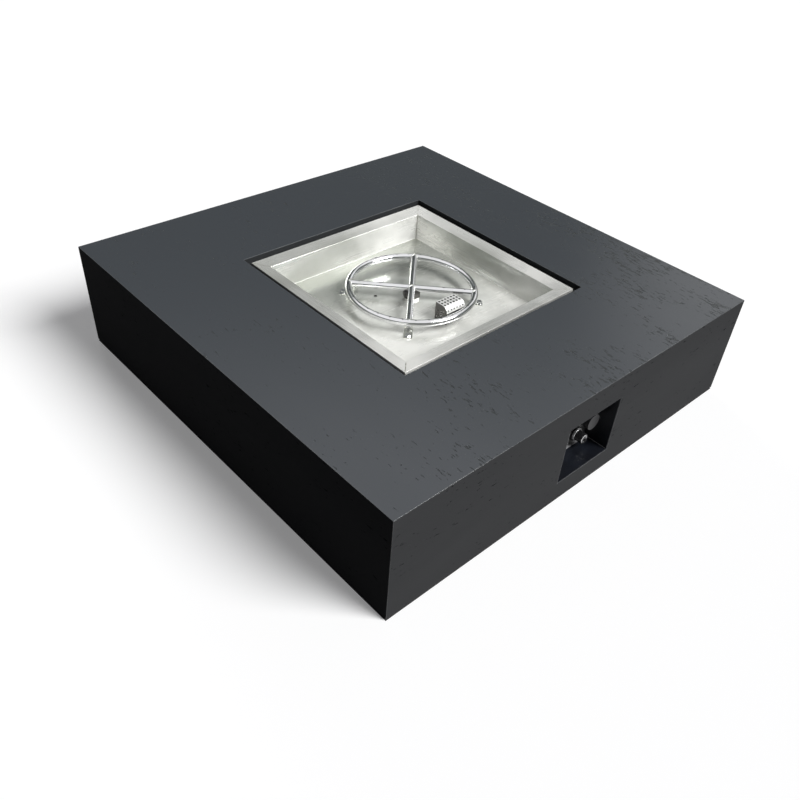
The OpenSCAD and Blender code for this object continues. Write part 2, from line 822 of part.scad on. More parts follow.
module hood_holes() {
    count = floor((hood_l - 2 * hood_hole_edge) / hood_pitch);
    middle = z_floor + hood_h - hood_r;
    for (i = [0:count]) translate([hood_x + (i - count / 2) * hood_pitch, 0, 0]) {
        for (j = [0:hood_hole_rows - 1])
            translate([0, hood_front + hood_w - hood_hole_edge - j * hood_pitch, middle])
                cylinder(d = hood_hole_d, h = hood_r + 1);
        translate([0, hood_front + hood_r, middle]) rotate([front_row_tilt, 0, 0])
            cylinder(d = hood_hole_d, h = hood_r + 2);
    }
    across = floor((hood_w - 2 * hood_hole_edge) / hood_pitch);
    up = floor((hood_h - hood_r - 4) / hood_pitch);
    for (j = [0:across], k = [0:up])
        translate([hood_x, hood_y + (j - across / 2) * hood_pitch, z_floor + 6 + k * hood_pitch])
            rotate([0, 90, 0]) cylinder(d = hood_hole_d, h = hood_l + 4, center = true);
}

// Opening in the hood's front, towards the ring
module hood_mouth() {
    translate([hood_x - hood_l / 2 + hood_jamb, hood_front - 1, z_floor - 1])
        cube([hood_l - 2 * hood_jamb, hood_sheet + 2, hood_mouth_h + 1]);
}

module pilot_hood() {
    color("#d8d8d5") {
        difference() {
            hood_block(0);
            hood_block(hood_sheet);
            hood_holes();
            hood_mouth();
        }
        at_hood_tabs() difference() {
            translate([-hood_tab_l / 2, -hood_tab_w / 2, 0]) cube([hood_tab_l, hood_tab_w, hood_sheet]);
            translate([0, 0, -1]) cylinder(d = hood_screw_d + 2 * hole_clear, h = hood_sheet + 2);
        }
    }
}

module hood_screws() {
    color("#c4c7c9") at_hood_tabs() {
        translate([0, 0, hood_sheet]) cylinder(d = 2 * hood_screw_d - 0.4, h = 0.6 * hood_screw_d);
        translate([0, 0, -pan_sheet - 3]) cylinder(d = hood_screw_d, h = pan_sheet + 3 + hood_sheet);
    }
}

module pilot_bracket() {
    color("#c9cac7") translate([hood_x - shelf_l / 2, hood_y - shelf_w / 2, z_floor]) difference() {
        cube([shelf_l, shelf_w, shelf_h + shelf_t]);
        translate([shelf_t, -1, -1]) cube([shelf_l - 2 * shelf_t, shelf_w + 2, shelf_h + 1]);
        translate([shelf_l / 2, shelf_w / 2, 0]) {
            translate([-pilot_half, 0, 0]) cylinder(d = insulator_d + 2 * hole_clear, h = shelf_h + 5);
            translate([pilot_half, 0, 0]) cylinder(d = probe_d + 2 * hole_clear, h = shelf_h + 5);
        }
    }
}

module electrode_insulator() {
    low = z_under - insulator_down;
    high = z_shelf + insulator_up;
    color("#f0ece2") translate([spark_x, hood_y, 0]) difference() {
        union() {
            translate([0, 0, low]) cylinder(d = insulator_d, h = high - low);
            translate([0, 0, z_shelf]) cylinder(d = insulator_collar_d, h = collar_t);
        }
        translate([0, 0, low - 1]) cylinder(d = electrode_d + 2 * thread_fit, h = high - low + 2);
    }
}

module spark_electrode() {
    low = spark_start[2];
    bend = z_floor + electrode_rise;
    color("#9a9c9c") translate([spark_x, hood_y, 0]) {
        translate([0, 0, low]) cylinder(d = electrode_d, h = bend - low);
        translate([0, 0, bend]) sphere(d = electrode_d);
        translate([0, 0, bend]) rotate([0, 90, 0]) cylinder(d = electrode_d, h = electrode_tip);
    }
}

module thermocouple_probe() {
    low = probe_start[2];
    high = z_floor + probe_rise - probe_d / 2;
    color("#b98a5a") translate([probe_x, hood_y, 0]) {
        translate([0, 0, low]) cylinder(d = probe_d, h = high - low);
        translate([0, 0, high]) sphere(d = probe_d);
        translate([0, 0, z_shelf]) cylinder(d = probe_collar_d, h = collar_t);
    }
}

module thermocouple_nut() {
    color("#c9a24a") translate([ctl_x, probe_port_y, knob_z + valve_h / 2]) difference() {
        hex_bar(probe_nut_af, probe_nut_h);
        translate([0, 0, 2]) cylinder(d = probe_lead_d + 2 * hole_clear, h = probe_nut_h);
    }
}

module ignition_lead() {
    color("#a8322a") swept_tube(curve(spark_route, 8), spark_lead_d, 8, [1, 0, 0]);
}

module thermocouple_lead() {
    color("#b9713a") swept_tube(curve(probe_route, 8), probe_lead_d, 8, [1, 0, 0]);
}

// Control box

module control_box() {
    color("#17181a") difference() {
        translate([recess_x, 0, z_recess_mid]) {
            translate([-box_out_w / 2, y_front + box_set, -box_out_h / 2])
                cube([box_out_w, y_back - y_front - box_set, box_out_h]);
            translate([-box_out_w / 2 - box_flange, y_in, -box_out_h / 2 - box_flange])
                cube([box_out_w + 2 * box_flange, box_sheet, box_out_h + 2 * box_flange]);
        }
        translate([recess_x - recess_w / 2, y_front - 1, z_recess])
            cube([recess_w, y_back - y_front + 2, recess_h]);
        at_box_screws() bar_y(box_screw_d + 2 * hole_clear, -1, box_sheet + 1);
    }
}

// Plate that carries the controls, welded into the back of the box with its lip on the box's floor
module control_plate() {
    plate_w = recess_w - 2 * weld_gap;
    color("#7d7f80") difference() {
        translate([recess_x - plate_w / 2, y_plate, z_recess]) {
            cube([plate_w, box_sheet, recess_h - weld_gap]);
            translate([0, -plate_lip, 0]) cube([plate_w, plate_lip + box_sheet, box_sheet]);
        }
        at_knob() bar_y(bonnet_d + 2 * hole_clear, -1, box_sheet + 1);
        at_igniter() bar_y(igniter_rear_d + 2 * hole_clear, -1, box_sheet + 1);
    }
}

module control_box_screws() {
    color("#c4c7c9") at_box_screws() {
        bar_y(box_head_d, box_sheet, box_sheet + box_head_h);
        bar_y(box_screw_d, box_sheet - box_screw_l, box_sheet);
    }
}

// Gas control

module valve_body() {
    color("#a9a49a") at_knob() difference() {
        union() {
            translate([-valve_w / 2, box_sheet, -valve_h / 2]) cube([valve_w, valve_l, valve_h]);
            bar_y(bonnet_d, -bonnet_out, box_sheet);
            bar_y(fitting_d, valve_rear, valve_rear + fitting_l);
        }
        bar_y(plunger_d + 2 * run_fit, -bonnet_out - 1, spring_rear);
        bar_y(fitting_bore, spring_rear - 1, valve_rear + fitting_l + 1);
        translate([-valve_w / 2 - 1, spring_rear - fitting_bore, 0]) rotate([0, 90, 0])
            cylinder(d = fitting_bore, h = valve_w / 2 + 1);
    }
}

module valve_inlet() {
    color("#c9a24a") translate([ctl_x - valve_w / 2, y_plate + spring_rear - fitting_bore, knob_z])
        rotate([0, -90, 0]) difference() {
            union() {
                hex_bar(fitting_d + 4, 8);
                cylinder(d = fitting_d, h = 8 + fitting_l);
            }
            translate([0, 0, -1]) cylinder(d = fitting_bore, h = fitting_l + 10);
        }
}

module bonnet_nut() {
    color("#c4c7c9") at_knob() rotate([90, 0, 0]) difference() {
        hex_bar(bonnet_nut_af, bonnet_nut_t);
        translate([0, 0, -1]) cylinder(d = bonnet_d + 2 * thread_fit, h = bonnet_nut_t + 2);
    }
}

module valve_spring() {
    color("#9a9c9c") at_knob() coil_spring(plunger_d - 1.6, 1.2, spring_front, spring_rear, 5);
}

module valve_plunger() {
    color("#c9a24a") at_knob() difference() {
        bar_y(plunger_d, plunger_front, plunger_rear);
        bar_y(spindle_d + 2 * run_fit, plunger_front - 1, plunger_rear + 1);
    }
}

// Flatted spindle section, grown by a fit
module flatted_bar(grow, y0, y1) {
    intersection() {
        bar_y(spindle_d + 2 * grow, y0, y1);
        translate([-spindle_d, y0, -spindle_d])
            cube([2 * spindle_d, y1 - y0, 1.5 * spindle_d - spindle_flat + grow]);
    }
}

module valve_spindle() {
    color("#b5b0a2") at_knob() {
        flatted_bar(0, knob_face + 6, plunger_front - 0.2);
        bar_y(spindle_d, plunger_front - 0.2, spindle_rear);
        bar_y(plunger_d - 0.6, plunger_front - 2.2, plunger_front - 0.2);
        bar_y(plunger_d - 0.6, plunger_rear + 0.2, collar_rear);
    }
}

module control_knob() {
    color("#5a5b5d") at_knob() difference() {
        bar_y(knob_d, knob_face, knob_back);
        flatted_bar(run_fit, knob_face + 6 - run_fit, knob_back + 1);
        bar_y(knob_cup_d, knob_back - knob_cup, knob_back + 1);
        for (k = [0:knob_flutes - 1]) rotate([0, 360 * (k + 0.5) / knob_flutes, 0])
            translate([knob_d / 2 + flute_d / 4, 0, 0]) bar_y(flute_d, knob_face + 3, knob_back + 1);
        translate([0, set_screw_at, spindle_d / 2 - spindle_flat])
            cylinder(d = set_screw_d + 2 * thread_fit, h = knob_d);
    }
}

module knob_set_screw() {
    seat = spindle_d / 2 - spindle_flat + run_fit;
    color("#2c2c2e") at_knob() translate([0, set_screw_at, seat]) difference() {
        cylinder(d = set_screw_d, h = 7);
        translate([0, 0, 5]) hex_bar(set_screw_d / 2, 3);
    }
}

// Igniter

module igniter_housing() {
    color("#1b1b1d") at_igniter() difference() {
        union() {
            bar_y(igniter_flange_d, -igniter_flange_t, 0);
            bar_y(igniter_rear_d, 0, igniter_rear_l);
        }
        bar_y(chamber_d, -igniter_flange_t - 1, battery_rear);
    }
}

module igniter_cap() {
    color("#141415") at_igniter() difference() {
        bar_y(igniter_cap_d, cap_front, cap_rear);
        bar_y(button_d + 2 * run_fit, cap_front - 1, cap_rear + 1);
        bar_y(bezel_d + 2 * thread_fit, cap_front - 1, cap_front + bezel_t);
        bar_y(cap_bore_d, cap_front + guide_l, cap_rear + 1);
    }
}

module igniter_trim_ring() {
    color("#e2e3e4") at_igniter() difference() {
        bar_y(trim_d, cap_rear - trim_t, cap_rear);
        bar_y(igniter_cap_d + 2 * thread_fit, cap_rear - trim_t - 1, cap_rear + 1);
    }
}

module igniter_bezel() {
    color("#e2e3e4") at_igniter() difference() {
        bar_y(bezel_d, cap_front, cap_front + bezel_t);
        bar_y(button_d + 2 * run_fit, cap_front - 1, cap_front + bezel_t + 1);
    }
}

module igniter_ring_nut() {
    color("#1b1b1d") at_igniter() difference() {
        bar_y(ring_nut_d, box_sheet, box_sheet + ring_nut_t);
        bar_y(igniter_rear_d + 2 * thread_fit, box_sheet - 1, box_sheet + ring_nut_t + 1);
    }
}

module igniter_battery() {
    color("#6f7377") at_igniter() {
        bar_y(battery_d, battery_front + battery_nub, battery_rear);
        bar_y(battery_nub_d, battery_front, battery_front + battery_nub);
    }
}

module igniter_spring() {
    color("#9a9c9c") at_igniter()
        coil_spring(button_spring_d, 1, button_spring_front, battery_front + battery_nub, 3);
}

module igniter_button() {
    color("#121213") at_igniter() {
        bar_y(button_d, cap_front - button_proud, button_collar_front);
        bar_y(button_d + 3, button_collar_front, button_collar_rear);
    }
}

top_panel();
front_panel();
back_panel();
left_panel();
right_panel();
corner_posts();
bearer_rails();
foot_glides();
foot_screws();
pan_floor();
pan_sides();
burner_ring();
burner_spokes();
burner_feet();
burner_bolts();
burner_nuts();
hub_coupling();
inlet_nipple();
pan_locknuts();
inlet_elbow();
gas_line();
gas_line_nuts();
pilot_hood();
hood_screws();
pilot_bracket();
spark_electrode();
electrode_insulator();
thermocouple_probe();
thermocouple_nut();
ignition_lead();
thermocouple_lead();
control_box();
control_plate();
control_box_screws();
valve_body();
valve_inlet();
bonnet_nut();
valve_spring();
valve_plunger();
valve_spindle();
control_knob();
knob_set_screw();
igniter_housing();
igniter_cap();
igniter_trim_ring();
igniter_bezel();
igniter_ring_nut();
igniter_battery();
igniter_spring();
igniter_button();
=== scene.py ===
import json
import math

import bmesh
import bpy
from mathutils import Matrix, Vector

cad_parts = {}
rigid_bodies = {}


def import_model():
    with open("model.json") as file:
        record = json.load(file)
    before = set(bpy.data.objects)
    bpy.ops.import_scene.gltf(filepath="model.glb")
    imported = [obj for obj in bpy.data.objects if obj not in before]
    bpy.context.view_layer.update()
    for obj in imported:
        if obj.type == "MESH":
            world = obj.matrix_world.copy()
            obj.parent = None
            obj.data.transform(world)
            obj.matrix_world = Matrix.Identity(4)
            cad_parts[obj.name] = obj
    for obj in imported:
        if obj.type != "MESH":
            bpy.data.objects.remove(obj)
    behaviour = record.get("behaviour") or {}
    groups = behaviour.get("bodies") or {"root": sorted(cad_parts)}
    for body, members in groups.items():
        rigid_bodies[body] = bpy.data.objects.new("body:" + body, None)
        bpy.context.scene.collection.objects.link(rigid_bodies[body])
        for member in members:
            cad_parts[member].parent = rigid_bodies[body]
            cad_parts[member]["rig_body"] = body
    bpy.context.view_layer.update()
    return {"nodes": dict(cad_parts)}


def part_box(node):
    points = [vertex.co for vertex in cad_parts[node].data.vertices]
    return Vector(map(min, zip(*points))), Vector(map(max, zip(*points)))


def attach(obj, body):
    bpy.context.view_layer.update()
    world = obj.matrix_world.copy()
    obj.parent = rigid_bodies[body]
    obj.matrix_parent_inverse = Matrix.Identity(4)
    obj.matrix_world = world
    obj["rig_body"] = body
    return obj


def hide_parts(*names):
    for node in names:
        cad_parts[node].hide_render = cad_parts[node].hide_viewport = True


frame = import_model()
nodes = frame["nodes"]
scene = bpy.context.scene
scene.view_settings.view_transform = "Standard"

# Camera: held at standing height off the near left corner, looking down across the top.
# Its place, axes and lens come from a fit to the casing's visible corners as a right-angled box.
CAMERA_AT = Vector((-1.1258, -1.1266, 1.1704))
CAMERA_RIGHT = Vector((0.73428, -0.67552, 0.06714))
CAMERA_FORWARD = Vector((0.55068, 0.53489, -0.64081))
IMAGE_SIDE_PX = 800
FOCAL_PX = 802.5
LENS_AXIS_PX = (411.1, 414.4)
SENSOR_MM = 36.0

camera_data = bpy.data.cameras.new("camera")
camera_data.sensor_width = SENSOR_MM
camera_data.lens = SENSOR_MM * FOCAL_PX / IMAGE_SIDE_PX
camera_data.shift_x = 0.5 - LENS_AXIS_PX[0] / IMAGE_SIDE_PX
camera_data.shift_y = LENS_AXIS_PX[1] / IMAGE_SIDE_PX - 0.5
camera = bpy.data.objects.new("camera", camera_data)
camera_up = CAMERA_RIGHT.cross(CAMERA_FORWARD)
axes = Matrix((CAMERA_RIGHT, camera_up, -CAMERA_FORWARD)).transposed()
camera.matrix_world = Matrix.Translation(CAMERA_AT) @ axes.to_4x4()
scene.collection.objects.link(camera)
scene.camera = camera

# Studio: a plain pale floor between grey walls under a white ceiling, with a bright window to the
# right, one broad key lamp from the front and a low fill lamp from behind that throws no glints.
# Little light comes from the left.
FLOOR_SIDE = 16.0
FLOOR_PALE = (0.86, 0.86, 0.86)
FLOOR_DULL_AND_PAINTED_SHADOW = (0.06, 0.06, 0.06)
FLOOR_GLOW = 0.2
WHITE = (1.0, 1.0, 1.0)
WALLS = (
    (0.12, (0.42, 0.46, 0.41)),
    (0.26, (0.10, 0.11, 0.10)),
    (0.50, (0.10, 0.11, 0.11)),
    (0.60, (0.36, 0.38, 0.37)),
    (0.69, WHITE),
)
SKY_DULL = (0.07, 0.07, 0.075)
WINDOW_TOWARDS = Vector((0.86, 0.22, 0.46))
WINDOW_EDGE = (0.962, 0.990)
KEY_FROM = Vector((0.317, -0.655, 0.687))
KEY_STRENGTH = 3.9
KEY_SPREAD = math.radians(30)
FILL_FROM = Vector((0.30, 0.95, 0.05))
FILL_STRENGTH = 1.6
FILL_SPREAD = math.radians(20)
MIX_COLOURS = (6, 7)
MIX_RESULT = 2


def put(tree, value, socket):
    """Links a socket to a result, or sets it to a plain value"""
    if isinstance(value, bpy.types.NodeSocket):
        tree.links.new(value, socket)
    else:
        socket.default_value = value


def fill_sockets(tree, node, **sockets):
    """Fills a node's sockets by name with results or plain values"""
    for name, value in sockets.items():
        put(tree, value, node.inputs[name.replace("_", " ")])


def add_node(tree, kind, options=None, **sockets):
    """Adds a node, sets its options and fills its sockets"""
    made = tree.nodes.new(kind)
    for option, value in (options or {}).items():
        setattr(made, option, value)
    fill_sockets(tree, made, **sockets)
    return made


def add_math(tree, operation, *values):
    """Adds a Math node on results or numbers and returns its result"""
    made = add_node(tree, "ShaderNodeMath", {"operation": operation})
    for value, socket in zip(values, made.inputs):
        put(tree, value, socket)
    return made.outputs[0]


def mix_colour(tree, factor, first, second):
    """Mixes two colours, results or plain ones, by a factor and returns the result"""
    made = add_node(tree, "ShaderNodeMix", {"data_type": "RGBA"})
    tree.links.new(factor, made.inputs[0])
    for colour, index in zip((first, second), MIX_COLOURS):
        plain = not isinstance(colour, bpy.types.NodeSocket)
        put(tree, (*colour, 1.0) if plain else colour, made.inputs[index])
    return made.outputs[MIX_RESULT]


def remap(tree, value, low, high, to_low=0.0, to_high=1.0):
    """Stretches a value between two limits"""
    made = add_node(tree, "ShaderNodeMapRange", Value=value, From_Min=low, From_Max=high, To_Min=to_low,
                    To_Max=to_high)
    return made.outputs["Result"]


def object_axes(tree):
    """The frame's X, Y and Z at a point, each by itself"""
    place = add_node(tree, "ShaderNodeTexCoord").outputs["Object"]
    return add_node(tree, "ShaderNodeSeparateXYZ", Vector=place).outputs


def off_middle(tree):
    """The distances from the frame's middle along X and along Y"""
    part = object_axes(tree)
    return add_math(tree, "ABSOLUTE", part["X"]), add_math(tree, "ABSOLUTE", part["Y"])


def seen_directly(tree):
    """Masks of the rays that come straight, by mirrors or through clear bodies, and of the camera's own"""
    path = add_node(tree, "ShaderNodeLightPath").outputs
    mirrored = add_math(tree, "MAXIMUM", path["Is Glossy Ray"], path["Is Transmission Ray"])
    return add_math(tree, "MAXIMUM", path["Is Camera Ray"], mirrored), path["Is Camera Ray"]


def new_finish(name, **sockets):
    """A material, its tree and its Principled shader, with plain sockets set by name"""
    finish = bpy.data.materials.new(name)
    finish.use_nodes = True
    shader = finish.node_tree.nodes["Principled BSDF"]
    fill_sockets(finish.node_tree, shader, **sockets)
    return finish, finish.node_tree, shader


def new_piece(name, add_primitive, *finishes, **options):
    """Adds a primitive with nothing else selected, and puts its place and size in its mesh"""
    bpy.ops.object.select_all(action="DESELECT")
    add_primitive(**options)
    bpy.ops.object.transform_apply(location=True, rotation=True, scale=True)
    piece = bpy.context.object
    piece.name = name
    for finish in finishes:
        piece.data.materials.append(finish)
    return piece


floor_finish, tree, shader = new_finish("studio_floor", Roughness=1.0, Specular_IOR_Level=0.0,
                                        Emission_Color=(*WHITE, 1.0))
# Under the casing's footprint the floor is dull for every ray, a painted shadow under the table.
away = add_math(tree, "MAXIMUM", *off_middle(tree))
beyond_painted_shadow = add_math(tree, "GREATER_THAN", away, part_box("top_panel")[1].x)
pale_beyond_painted_shadow = add_math(tree, "MULTIPLY", seen_directly(tree)[0], beyond_painted_shadow)
fill_sockets(tree, shader, Base_Color=mix_colour(tree, pale_beyond_painted_shadow, FLOOR_DULL_AND_PAINTED_SHADOW, FLOOR_PALE),
             Emission_Strength=add_math(tree, "MULTIPLY", pale_beyond_painted_shadow, FLOOR_GLOW))
floor = new_piece("studio_floor", bpy.ops.mesh.primitive_plane_add, floor_finish, size=FLOOR_SIDE)

studio = bpy.data.worlds.new("studio")
scene.world = studio
studio.use_nodes = True
tree = studio.node_tree
background = tree.nodes["Background"]
direct, by_camera = seen_directly(tree)
towards = add_node(tree, "ShaderNodeTexCoord").outputs["Generated"]
height = add_node(tree, "ShaderNodeSeparateXYZ", Vector=towards).outputs["Z"]
walls = add_node(tree, "ShaderNodeValToRGB", Fac=height)
steps = walls.color_ramp.elements
steps.remove(steps[1])
for place, colour in WALLS:
    step = steps[0] if place == WALLS[0][0] else steps.new(place)
    step.position = place
    step.color = (*colour, 1.0)
facing = add_node(tree, "ShaderNodeVectorMath", {"operation": "DOT_PRODUCT"})
for value, socket in zip((towards, WINDOW_TOWARDS), facing.inputs):
    put(tree, value, socket)
window = remap(tree, facing.outputs["Value"], *WINDOW_EDGE)
mirrored = mix_colour(tree, window, walls.outputs["Color"], WHITE)
shown = mix_colour(tree, by_camera, mirrored, WHITE)
tree.links.new(mix_colour(tree, direct, SKY_DULL, shown), background.inputs["Color"])


def add_lamp(name, place, strength, spread):
    """A distant lamp that shines from a direction over a spread of angles"""
    lamp_data = bpy.data.lights.new(name, "SUN")
    lamp_data.energy = strength
    lamp_data.angle = spread
    lamp = bpy.data.objects.new(name, lamp_data)
    lamp.rotation_mode = "QUATERNION"
    lamp.rotation_quaternion = place.to_track_quat("Z", "Y")
    scene.collection.objects.link(lamp)
    return lamp


add_lamp("key_lamp", KEY_FROM, KEY_STRENGTH, KEY_SPREAD)
fill_lamp = add_lamp("fill_lamp", FILL_FROM, FILL_STRENGTH, FILL_SPREAD)
fill_lamp.visible_glossy = False

# Inner frame: four posts and two bearer rails of planed softwood, glued and screwed inside
# the casing. The grain runs along each stick, and the wood is left raw.
SOFTWOOD_EARLY = (0.56, 0.40, 0.23)
SOFTWOOD_LATE = (0.33, 0.19, 0.09)
RINGS_PER_METRE = (3, 70, 70)
LATE_EDGE = (0.48, 0.62)
FIBRES_PER_METRE = (30, 1200, 1200)
FIBRE_SHADE = 0.25
FIBRE_RELIEF = 0.0002
RAW_ROUGHNESS = (0.6, 0.8)
NOISE_SPAN = (0.3, 0.7)


def object_coords(tree, turn=(0, 0, 0)):
    """The frame's coordinates, turned"""
    coords = add_node(tree, "ShaderNodeTexCoord").outputs["Object"]
    return add_node(tree, "ShaderNodeMapping", Vector=coords, Rotation=turn).outputs["Vector"]


def add_noise(tree, vector, scale=1.0, detail=2.0):
    """Smooth noise on a vector"""
    return add_node(tree, "ShaderNodeTexNoise", Vector=vector, Scale=scale, Detail=detail).outputs["Fac"]


def stretched_noise(tree, vector, per_metre, detail=2.0):
    """Smooth noise on a vector that is stretched along its axes"""
    place = add_node(tree, "ShaderNodeMapping", Vector=vector, Scale=per_metre)
    return add_noise(tree, place.outputs["Vector"], detail=detail)


def add_bump(tree, shader, height, relief):
    """Feeds a height, in parts of a relief in metres, to the shader's normal"""
    bump = add_node(tree, "ShaderNodeBump", Height=height, Distance=relief)
    tree.links.new(bump.outputs["Normal"], shader.inputs["Normal"])


def dress(finish, *names):
    """Gives CAD nodes a finish in every material slot"""
    for name in names:
        for slot in nodes[name].material_slots:
            slot.material = finish


def softwood(name, turn):
    """Raw softwood with late-wood lines along the grain"""
    finish, tree, shader = new_finish(name)
    along = object_coords(tree, turn)
    rings = stretched_noise(tree, along, RINGS_PER_METRE, 3.0)
    fibres = stretched_noise(tree, along, FIBRES_PER_METRE)
    colour = mix_colour(tree, remap(tree, rings, *LATE_EDGE), SOFTWOOD_EARLY, SOFTWOOD_LATE)
    shade = remap(tree, fibres, *NOISE_SPAN, 0.0, FIBRE_SHADE)
    fill_sockets(tree, shader, Base_Color=mix_colour(tree, shade, colour, SOFTWOOD_LATE),
                 Roughness=remap(tree, fibres, *NOISE_SPAN, *RAW_ROUGHNESS))
    add_bump(tree, shader, fibres, FIBRE_RELIEF)
    return finish


GRAIN_ALONG_X = (0, 0, 0)
GRAIN_ALONG_Y = (0, 0, math.radians(90))
GRAIN_ALONG_Z = (0, math.radians(90), 0)
dress(softwood("frame_wood_upright", GRAIN_ALONG_Z), "corner_posts")
dress(softwood("frame_wood_level", GRAIN_ALONG_Y), "bearer_rails")

# Feet: four moulded rubber glides under the posts, which keep the casing off the ground. Each is held
# by one zinc-plated pan-head screw.
RUBBER_BLACK = (0.020, 0.020, 0.021)
RUBBER_DUSTY = (0.055, 0.053, 0.050)
ZINC_BRIGHT = (0.66, 0.67, 0.68)
ZINC_DULL = (0.46, 0.47, 0.49)
BLOTCHES_PER_METRE = 28.0
BLOTCH_EDGE = (0.35, 0.68)


def new_group(name, inputs, outputs):
    """A node group with value outputs, the sockets at its start and the node at its end"""
    group = bpy.data.node_groups.new(name, "ShaderNodeTree")
    for socket, kind in inputs.items():
        group.interface.new_socket(socket, in_out="INPUT", socket_type=kind)
    for socket in outputs:
        group.interface.new_socket(socket, in_out="OUTPUT", socket_type="NodeSocketFloat")
    return group, group.nodes.new("NodeGroupInput").outputs, group.nodes.new("NodeGroupOutput")


def rough_skin_group():
    """Fine grain and broad blotches, as on moulded, cast and coated skins"""
    inputs = {"Place": "NodeSocketVector", "Grains per metre": "NodeSocketFloat"}
    group, entry, leave = new_group("rough_skin", inputs, ("Grain", "Blotch"))
    grain = add_noise(group, entry["Place"], entry["Grains per metre"], 3.0)
    blotch = remap(group, add_noise(group, entry["Place"], BLOTCHES_PER_METRE, 4.0), *BLOTCH_EDGE)
    fill_sockets(group, leave, Grain=grain, Blotch=blotch)
    return group


rough_skin = rough_skin_group()


def skin_finish(name, light, dark, grains, roughness, relief, **sockets):
    """A moulded, cast or coated finish of two tones, with its grains per metre, roughness range and relief"""
    finish, tree, shader = new_finish(name, **sockets)
    skin = add_node(tree, "ShaderNodeGroup", {"node_tree": rough_skin}, Place=object_coords(tree),
                    Grains_per_metre=grains)
    grain, blotch = skin.outputs["Grain"], skin.outputs["Blotch"]
    fill_sockets(tree, shader, Base_Color=mix_colour(tree, blotch, dark, light),
                 Roughness=remap(tree, grain, *NOISE_SPAN, *roughness))
    add_bump(tree, shader, grain, relief)
    return finish


glide_rubber = skin_finish("glide_rubber", RUBBER_DUSTY, RUBBER_BLACK, 1400.0, (0.7, 0.9), 0.0002)
zinc = skin_finish("zinc_plate", ZINC_BRIGHT, ZINC_DULL, 1800.0, (0.26, 0.42), 0.00003, Metallic=1.0)
dress(glide_rubber, "foot_glides")
dress(zinc, "foot_screws")

# Casing: five panels of open-pored wood, stained black and matt lacquered, the top with one coat
# more. Their edges are mitred, glued to the posts and rails, and eased, and the eased edges are coloured
# pale, partly as wear and partly as a painted highlight.
PANEL_T = 0.025
ARRIS = 0.0013
HOLE_ARRIS = 0.00078
ARRIS_SLOT = 1
MITRE_GAP = 0.0001
TINY = 1e-6
SIDE_DEEP = (0.050, 0.051, 0.053)
SIDE_LIGHT = (0.058, 0.059, 0.061)
TOP_DEEP = (0.046, 0.052, 0.060)
TOP_LIGHT = (0.049, 0.055, 0.064)
# Pale colour of the eased edges: partly wear, partly a painted highlight.
ARRIS_WEAR_AND_HIGHLIGHT = (0.15, 0.155, 0.16)
MATT = (0.002, 0.62)
LACQUERED = (0.62, 0.22)
COAT_WEAR = 0.02
TONES_PER_METRE = (1.6, 7, 7)
TONE_SPAN = (0.32, 0.68)
PATCHES_PER_METRE = (4, 9, 9)
PATCH_EDGE = (0.38, 0.60)
SIDE_SHARE = 0.45
TOP_SHARE = (0.4, 1.0)
TOP_SHARE_ACROSS = (-0.2, 0.9)
PORES_PER_METRE = (55, 250, 250)
PORE_EDGE = (0.76, 0.55)
PORE_RAMP = 0.05
PORE_BLACK = (0.008, 0.009, 0.010)
PORE_DEPTH = 0.75
PORE_ROUGHER = 0.1
PORE_RELIEF = 0.0008
SPECKS_PER_METRE = (420, 420, 420)
SPECK_EDGE = (0.78, 0.86)
DUST_GREY = (0.24, 0.25, 0.25)
DUST_DEPTH = 0.4
UP = Vector((0, 0, 1))


def open_pores_group():
    """Pores as short pits along the grain in patches, with a slow change of tone and specks of dust"""
    inputs = {"Along grain": "NodeSocketVector", "Share": "NodeSocketFloat"}
    group, entry, leave = new_group("open_pores", inputs, ("Pores", "Tone", "Dust"))
    along = entry["Along grain"]
    patch = remap(group, stretched_noise(group, along, PATCHES_PER_METRE), *PATCH_EDGE)
    share = add_math(group, "MULTIPLY", patch, entry["Share"])
    edge = remap(group, share, 0.0, 1.0, *PORE_EDGE)
    end = add_math(group, "ADD", edge, PORE_RAMP)
    pits = remap(group, stretched_noise(group, along, PORES_PER_METRE), edge, end)
    tone = remap(group, stretched_noise(group, along, TONES_PER_METRE, 4.0), *TONE_SPAN)
    specks = remap(group, stretched_noise(group, along, SPECKS_PER_METRE, 0.0), *SPECK_EDGE)
    fill_sockets(group, leave, Pores=pits, Tone=tone, Dust=add_math(group, "MULTIPLY", specks, share))
    return group


open_pores = open_pores_group()


def black_wood(name, turn, deep, light, coat):
    """Black stained wood under a coat of a specular level and a roughness. Its pores run along the grain,
    and are more on the lacquered boards at the right front"""
    gloss, roughness = coat
    finish, tree, shader = new_finish(name, Specular_IOR_Level=gloss)
    share = SIDE_SHARE
    if coat == LACQUERED:
        part = object_axes(tree)
        across = add_math(tree, "SUBTRACT", part["X"], part["Y"])
        share = remap(tree, across, *TOP_SHARE_ACROSS, *TOP_SHARE)
    grain = add_node(tree, "ShaderNodeGroup", {"node_tree": open_pores}, Share=share,
                     Along_grain=object_coords(tree, turn))
    pores, tone, dust = (grain.outputs[socket] for socket in ("Pores", "Tone", "Dust"))
    colour = mix_colour(tree, tone, deep, light)
    colour = mix_colour(tree, add_math(tree, "MULTIPLY", pores, PORE_DEPTH), colour, PORE_BLACK)
    colour = mix_colour(tree, add_math(tree, "MULTIPLY", dust, DUST_DEPTH), colour, DUST_GREY)
    worn = remap(tree, tone, 0.0, 1.0, roughness + COAT_WEAR, roughness - COAT_WEAR)
    fill_sockets(tree, shader, Base_Color=colour,
                 Roughness=add_math(tree, "MULTIPLY_ADD", pores, PORE_ROUGHER, worn))
    add_bump(tree, shader, pores, -PORE_RELIEF)
    return finish


def select_alone(piece):
    """Selects one piece and nothing else"""
    bpy.ops.object.select_all(action="DESELECT")
    piece.select_set(True)
    bpy.context.view_layer.objects.active = piece


